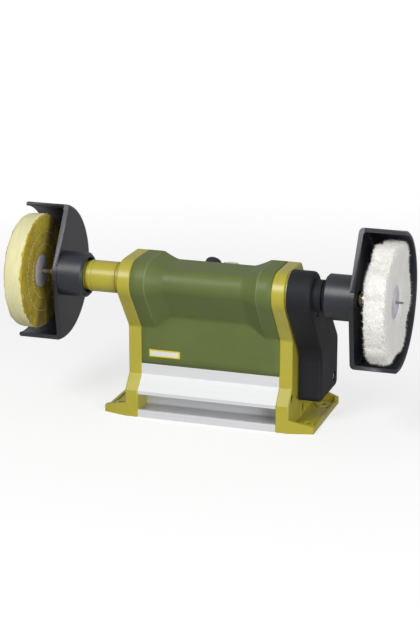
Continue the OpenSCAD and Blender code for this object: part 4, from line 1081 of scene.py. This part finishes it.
def fray_tree():
    tree, given = geometry_tree("frayed threads", {
        "Inner radius": 0.045, "Density": 200000.0, "Length": 0.003, "Thickness": 0.0002, "Flatness": 1.0,
        "Middle": 0.0, "Band": 0.0, "Lean": 1.0, "Seed": 1, "Material": None})
    position = tree.nodes.new("GeometryNodeInputPosition").outputs[0]
    from_line = vector_maths(tree, "SUBTRACT", position, on_spindle(0))
    radius = vector_maths(tree, "LENGTH", vector_maths(tree, "MULTIPLY", from_line, (0, 1, 1)))
    off_middle = abs(split(tree, from_line)[0] - given["Middle"])
    reach = radius * maths(tree, "GREATER_THAN", off_middle, given["Band"])
    outer = add_node(tree, "FunctionNodeCompare", {0: reach, 1: given["Inner radius"]},
                     operation="GREATER_THAN")
    points = add_node(tree, "GeometryNodeDistributePointsOnFaces", {
        "Mesh": given["Geometry"], "Selection": outer.outputs[0], "Density": given["Density"],
        "Seed": given["Seed"]}).outputs
    thread = add_node(tree, "GeometryNodeMeshCone", {
        "Vertices": 3, "Radius Top": 0.0, "Radius Bottom": 1.0, "Depth": 1.0}, fill_type="NONE")
    lean = add_node(tree, "FunctionNodeRandomValue", {
        "Min": LEAST_LEAN, "Max": MOST_LEAN, "Seed": given["Seed"]}, data_type="FLOAT_VECTOR")
    leaning = vector_maths(tree, "SCALE", lean.outputs[0], given["Lean"])
    turned = add_node(tree, "FunctionNodeRotateRotation", {
        "Rotation": points["Rotation"], "Rotate By": leaning}, rotation_space="LOCAL")
    length = add_node(tree, "FunctionNodeRandomValue", {2: SHORTEST, 3: LONGEST, "Seed": LENGTH_SEED},
                      data_type="FLOAT")
    size = join(tree, given["Thickness"], given["Thickness"] * given["Flatness"],
                Wire(tree, length.outputs[1]) * given["Length"])
    threads = add_node(tree, "GeometryNodeInstanceOnPoints", {
        "Points": points[0], "Instance": thread.outputs[0], "Rotation": turned.outputs[0], "Scale": size})
    return end_tree(tree, threads.outputs[0], given["Material"], smooth=False)


# %% Grow the frayed threads
FRAY_TREE = fray_tree()


def add_fray(name, wheel, slot, values):
    threads = grown(name, FRAY_TREE, {**values, "Material": FINISHES[slot]}, wheel.copy())
    show(name, threads, "spindle")
    print(name, "has", len(threads.polygons) // 3, "threads")


add_fray("muslin_fray", muslin_mesh, "white_muslin", {
    "Inner radius": WHEEL_R - 7 * MM, "Density": 900000.0, "Length": 2.6 * MM, "Thickness": 0.07 * MM,
    "Seed": 5})
add_fray("muslin_tufts", muslin_mesh, "white_muslin", {
    "Inner radius": WHEEL_R - 5 * MM, "Density": 330000.0, "Length": 3.4 * MM, "Thickness": 0.25 * MM,
    "Flatness": 0.3, "Middle": muslin_x, "Band": 6.5 * MM, "Seed": 11})
add_fray("cotton_fray", cotton_mesh, "yellow_cotton", {
    "Inner radius": WHEEL_R - 2 * MM, "Density": 50000.0, "Length": 2.2 * MM, "Thickness": 0.06 * MM,
    "Seed": 2})

# %% [markdown]
# ## Stitches
#
# Two rings of pale thread hold the cotton discs together and show on both faces. Each stitch is a short
# rounded bar. `Curve to Points` puts a fixed number of them on a circle and turns each one along it.


# %% Tree for a ring of stitches
def stitch_tree():
    tree, given = geometry_tree("ring of stitches", {
        "Ring radius": 0.03, "Count": 50, "Thread": 0.0003, "Stitch": 0.0025, "Material": None})
    circle = add_node(tree, "GeometryNodeCurvePrimitiveCircle", {
        "Resolution": 180, "Radius": given["Ring radius"]})
    spots = add_node(tree, "GeometryNodeCurveToPoints", {"Curve": circle.outputs[0], "Count": given["Count"]})
    ball = add_node(tree, "GeometryNodeMeshIcoSphere", {"Radius": 1.0, "Subdivisions": 2})
    stitches = add_node(tree, "GeometryNodeInstanceOnPoints", {
        "Points": spots.outputs[0], "Instance": ball.outputs[0], "Rotation": spots.outputs["Rotation"],
        "Scale": join(tree, given["Thread"], given["Thread"], given["Stitch"] * 0.5)})
    return end_tree(tree, stitches.outputs[0], given["Material"])


# %% Sew the cotton wheel
STITCH_TREE = stitch_tree()
STITCH_THREAD = cloth("stitching thread", (236, 230, 190), (214, 204, 150), 2600.0, 0.03 * MM, 0.0)
STITCH_PITCH = 3.9 * MM
SEAM_SUNK = 0.55 * MM


def add_stitches():
    mesh = bpy.data.meshes.new("cotton_stitches")
    with editing(mesh) as shape:
        for side in (-1, 1):
            for seam in SEAMS:
                radius = WHEEL_R * seam
                ring = grown("seam", STITCH_TREE, {
                    "Ring radius": radius, "Count": round(2 * math.pi * radius / STITCH_PITCH),
                    "Thread": 0.3 * MM, "Stitch": 3.0 * MM, "Material": STITCH_THREAD})
                ring.transform(Matrix.Rotation(math.pi / 2, 4, "Y"))
                ring.transform(Matrix.Translation(on_spindle(cotton_x + side * (cotton_half - SEAM_SUNK))))
                shape.from_mesh(ring)
    mesh.materials.append(STITCH_THREAD)
    shade_smooth(mesh)
    return show("cotton_stitches", mesh, "spindle")


stitches = add_stitches()
print("stitch faces:", len(stitches.data.polygons))

# %% [markdown]
# ## Studio
#
# The machine stands on a white sweep in soft light: a broad lamp high in front and a little to the left,
# which puts a highlight along every round that lies across the picture, a low one from the right, and an
# even glow from all round. The floor and the world are white to the camera, which gives the white ground
# without more light on the machine. Reflections see only part of that white, so dark paint stays dark.

# %% Floor
FLOOR_HALF = 4.0
FLOOR_LEVEL = -0.2 * MM
GLOW_REACH = (0.4, 1.3)
GLOW_NEAR = 0.68
SEEN_IN_GLOSS = 0.25


def seen_share(tree):
    """1 for what the camera sees, also through glass, a part for reflections, and 0 for light on things."""
    rays = tree.nodes.new("ShaderNodeLightPath").outputs
    seen = maths(tree, "MAXIMUM", rays["Is Camera Ray"], rays["Is Transmission Ray"])
    return maths(tree, "MAXIMUM", seen, Wire(tree, rays["Is Glossy Ray"]) * SEEN_IN_GLOSS)


def white_sweep():
    material = having(bpy.data.materials.new("white sweep"), use_nodes=True)
    tree = material.node_tree
    glow = ramp(tree, vector_maths(tree, "LENGTH", object_place(tree)), *GLOW_REACH, GLOW_NEAR)
    feed(tree, tree.nodes["Principled BSDF"], {
        "Base Color": (0.4, 0.4, 0.4, 1), "Roughness": 0.9, "Specular IOR Level": 0.1,
        "Emission Color": (1, 1, 1, 1), "Emission Strength": seen_share(tree) * glow})
    return material


def add_floor():
    mesh = bpy.data.meshes.new("floor")
    with editing(mesh) as shape:
        sides = ((-1, -1), (1, -1), (1, 1), (-1, 1))
        shape.faces.new([shape.verts.new((x * FLOOR_HALF, y * FLOOR_HALF, FLOOR_LEVEL)) for x, y in sides])
    floor = new_object("floor", mesh)
    mesh.materials.append(white_sweep())


add_floor()
print("floor:", 2 * FLOOR_HALF, "m wide")

# %% Lamps and world
MIDDLE = Vector((0, -0.03, 0.1))
GLOW = 0.28


def add_lamp(name, place, width, height, power):
    data = having(bpy.data.lights.new(name, "AREA"), shape="RECTANGLE", size=width, size_y=height,
                  energy=power)
    return aimed(name, data, place, MIDDLE - Vector(place))


def add_world():
    world = having(bpy.data.worlds.new("studio"), use_nodes=True)
    tree = world.node_tree
    feed(tree, tree.nodes["Background"], {
        "Color": (1, 1, 1, 1), "Strength": GLOW + seen_share(tree) * (1.0 - GLOW)})
    bpy.context.scene.world = world


lamps = [add_lamp("key softbox", (-0.4, -1.24, 1.2), 0.6, 0.8, 13),
         add_lamp("low fill", (1.12, -1.1, 0.42), 0.8, 0.6, 11)]
add_world()
bpy.context.scene.view_settings.view_transform = "Standard"
print("lamps:", [lamp.name for lamp in lamps])
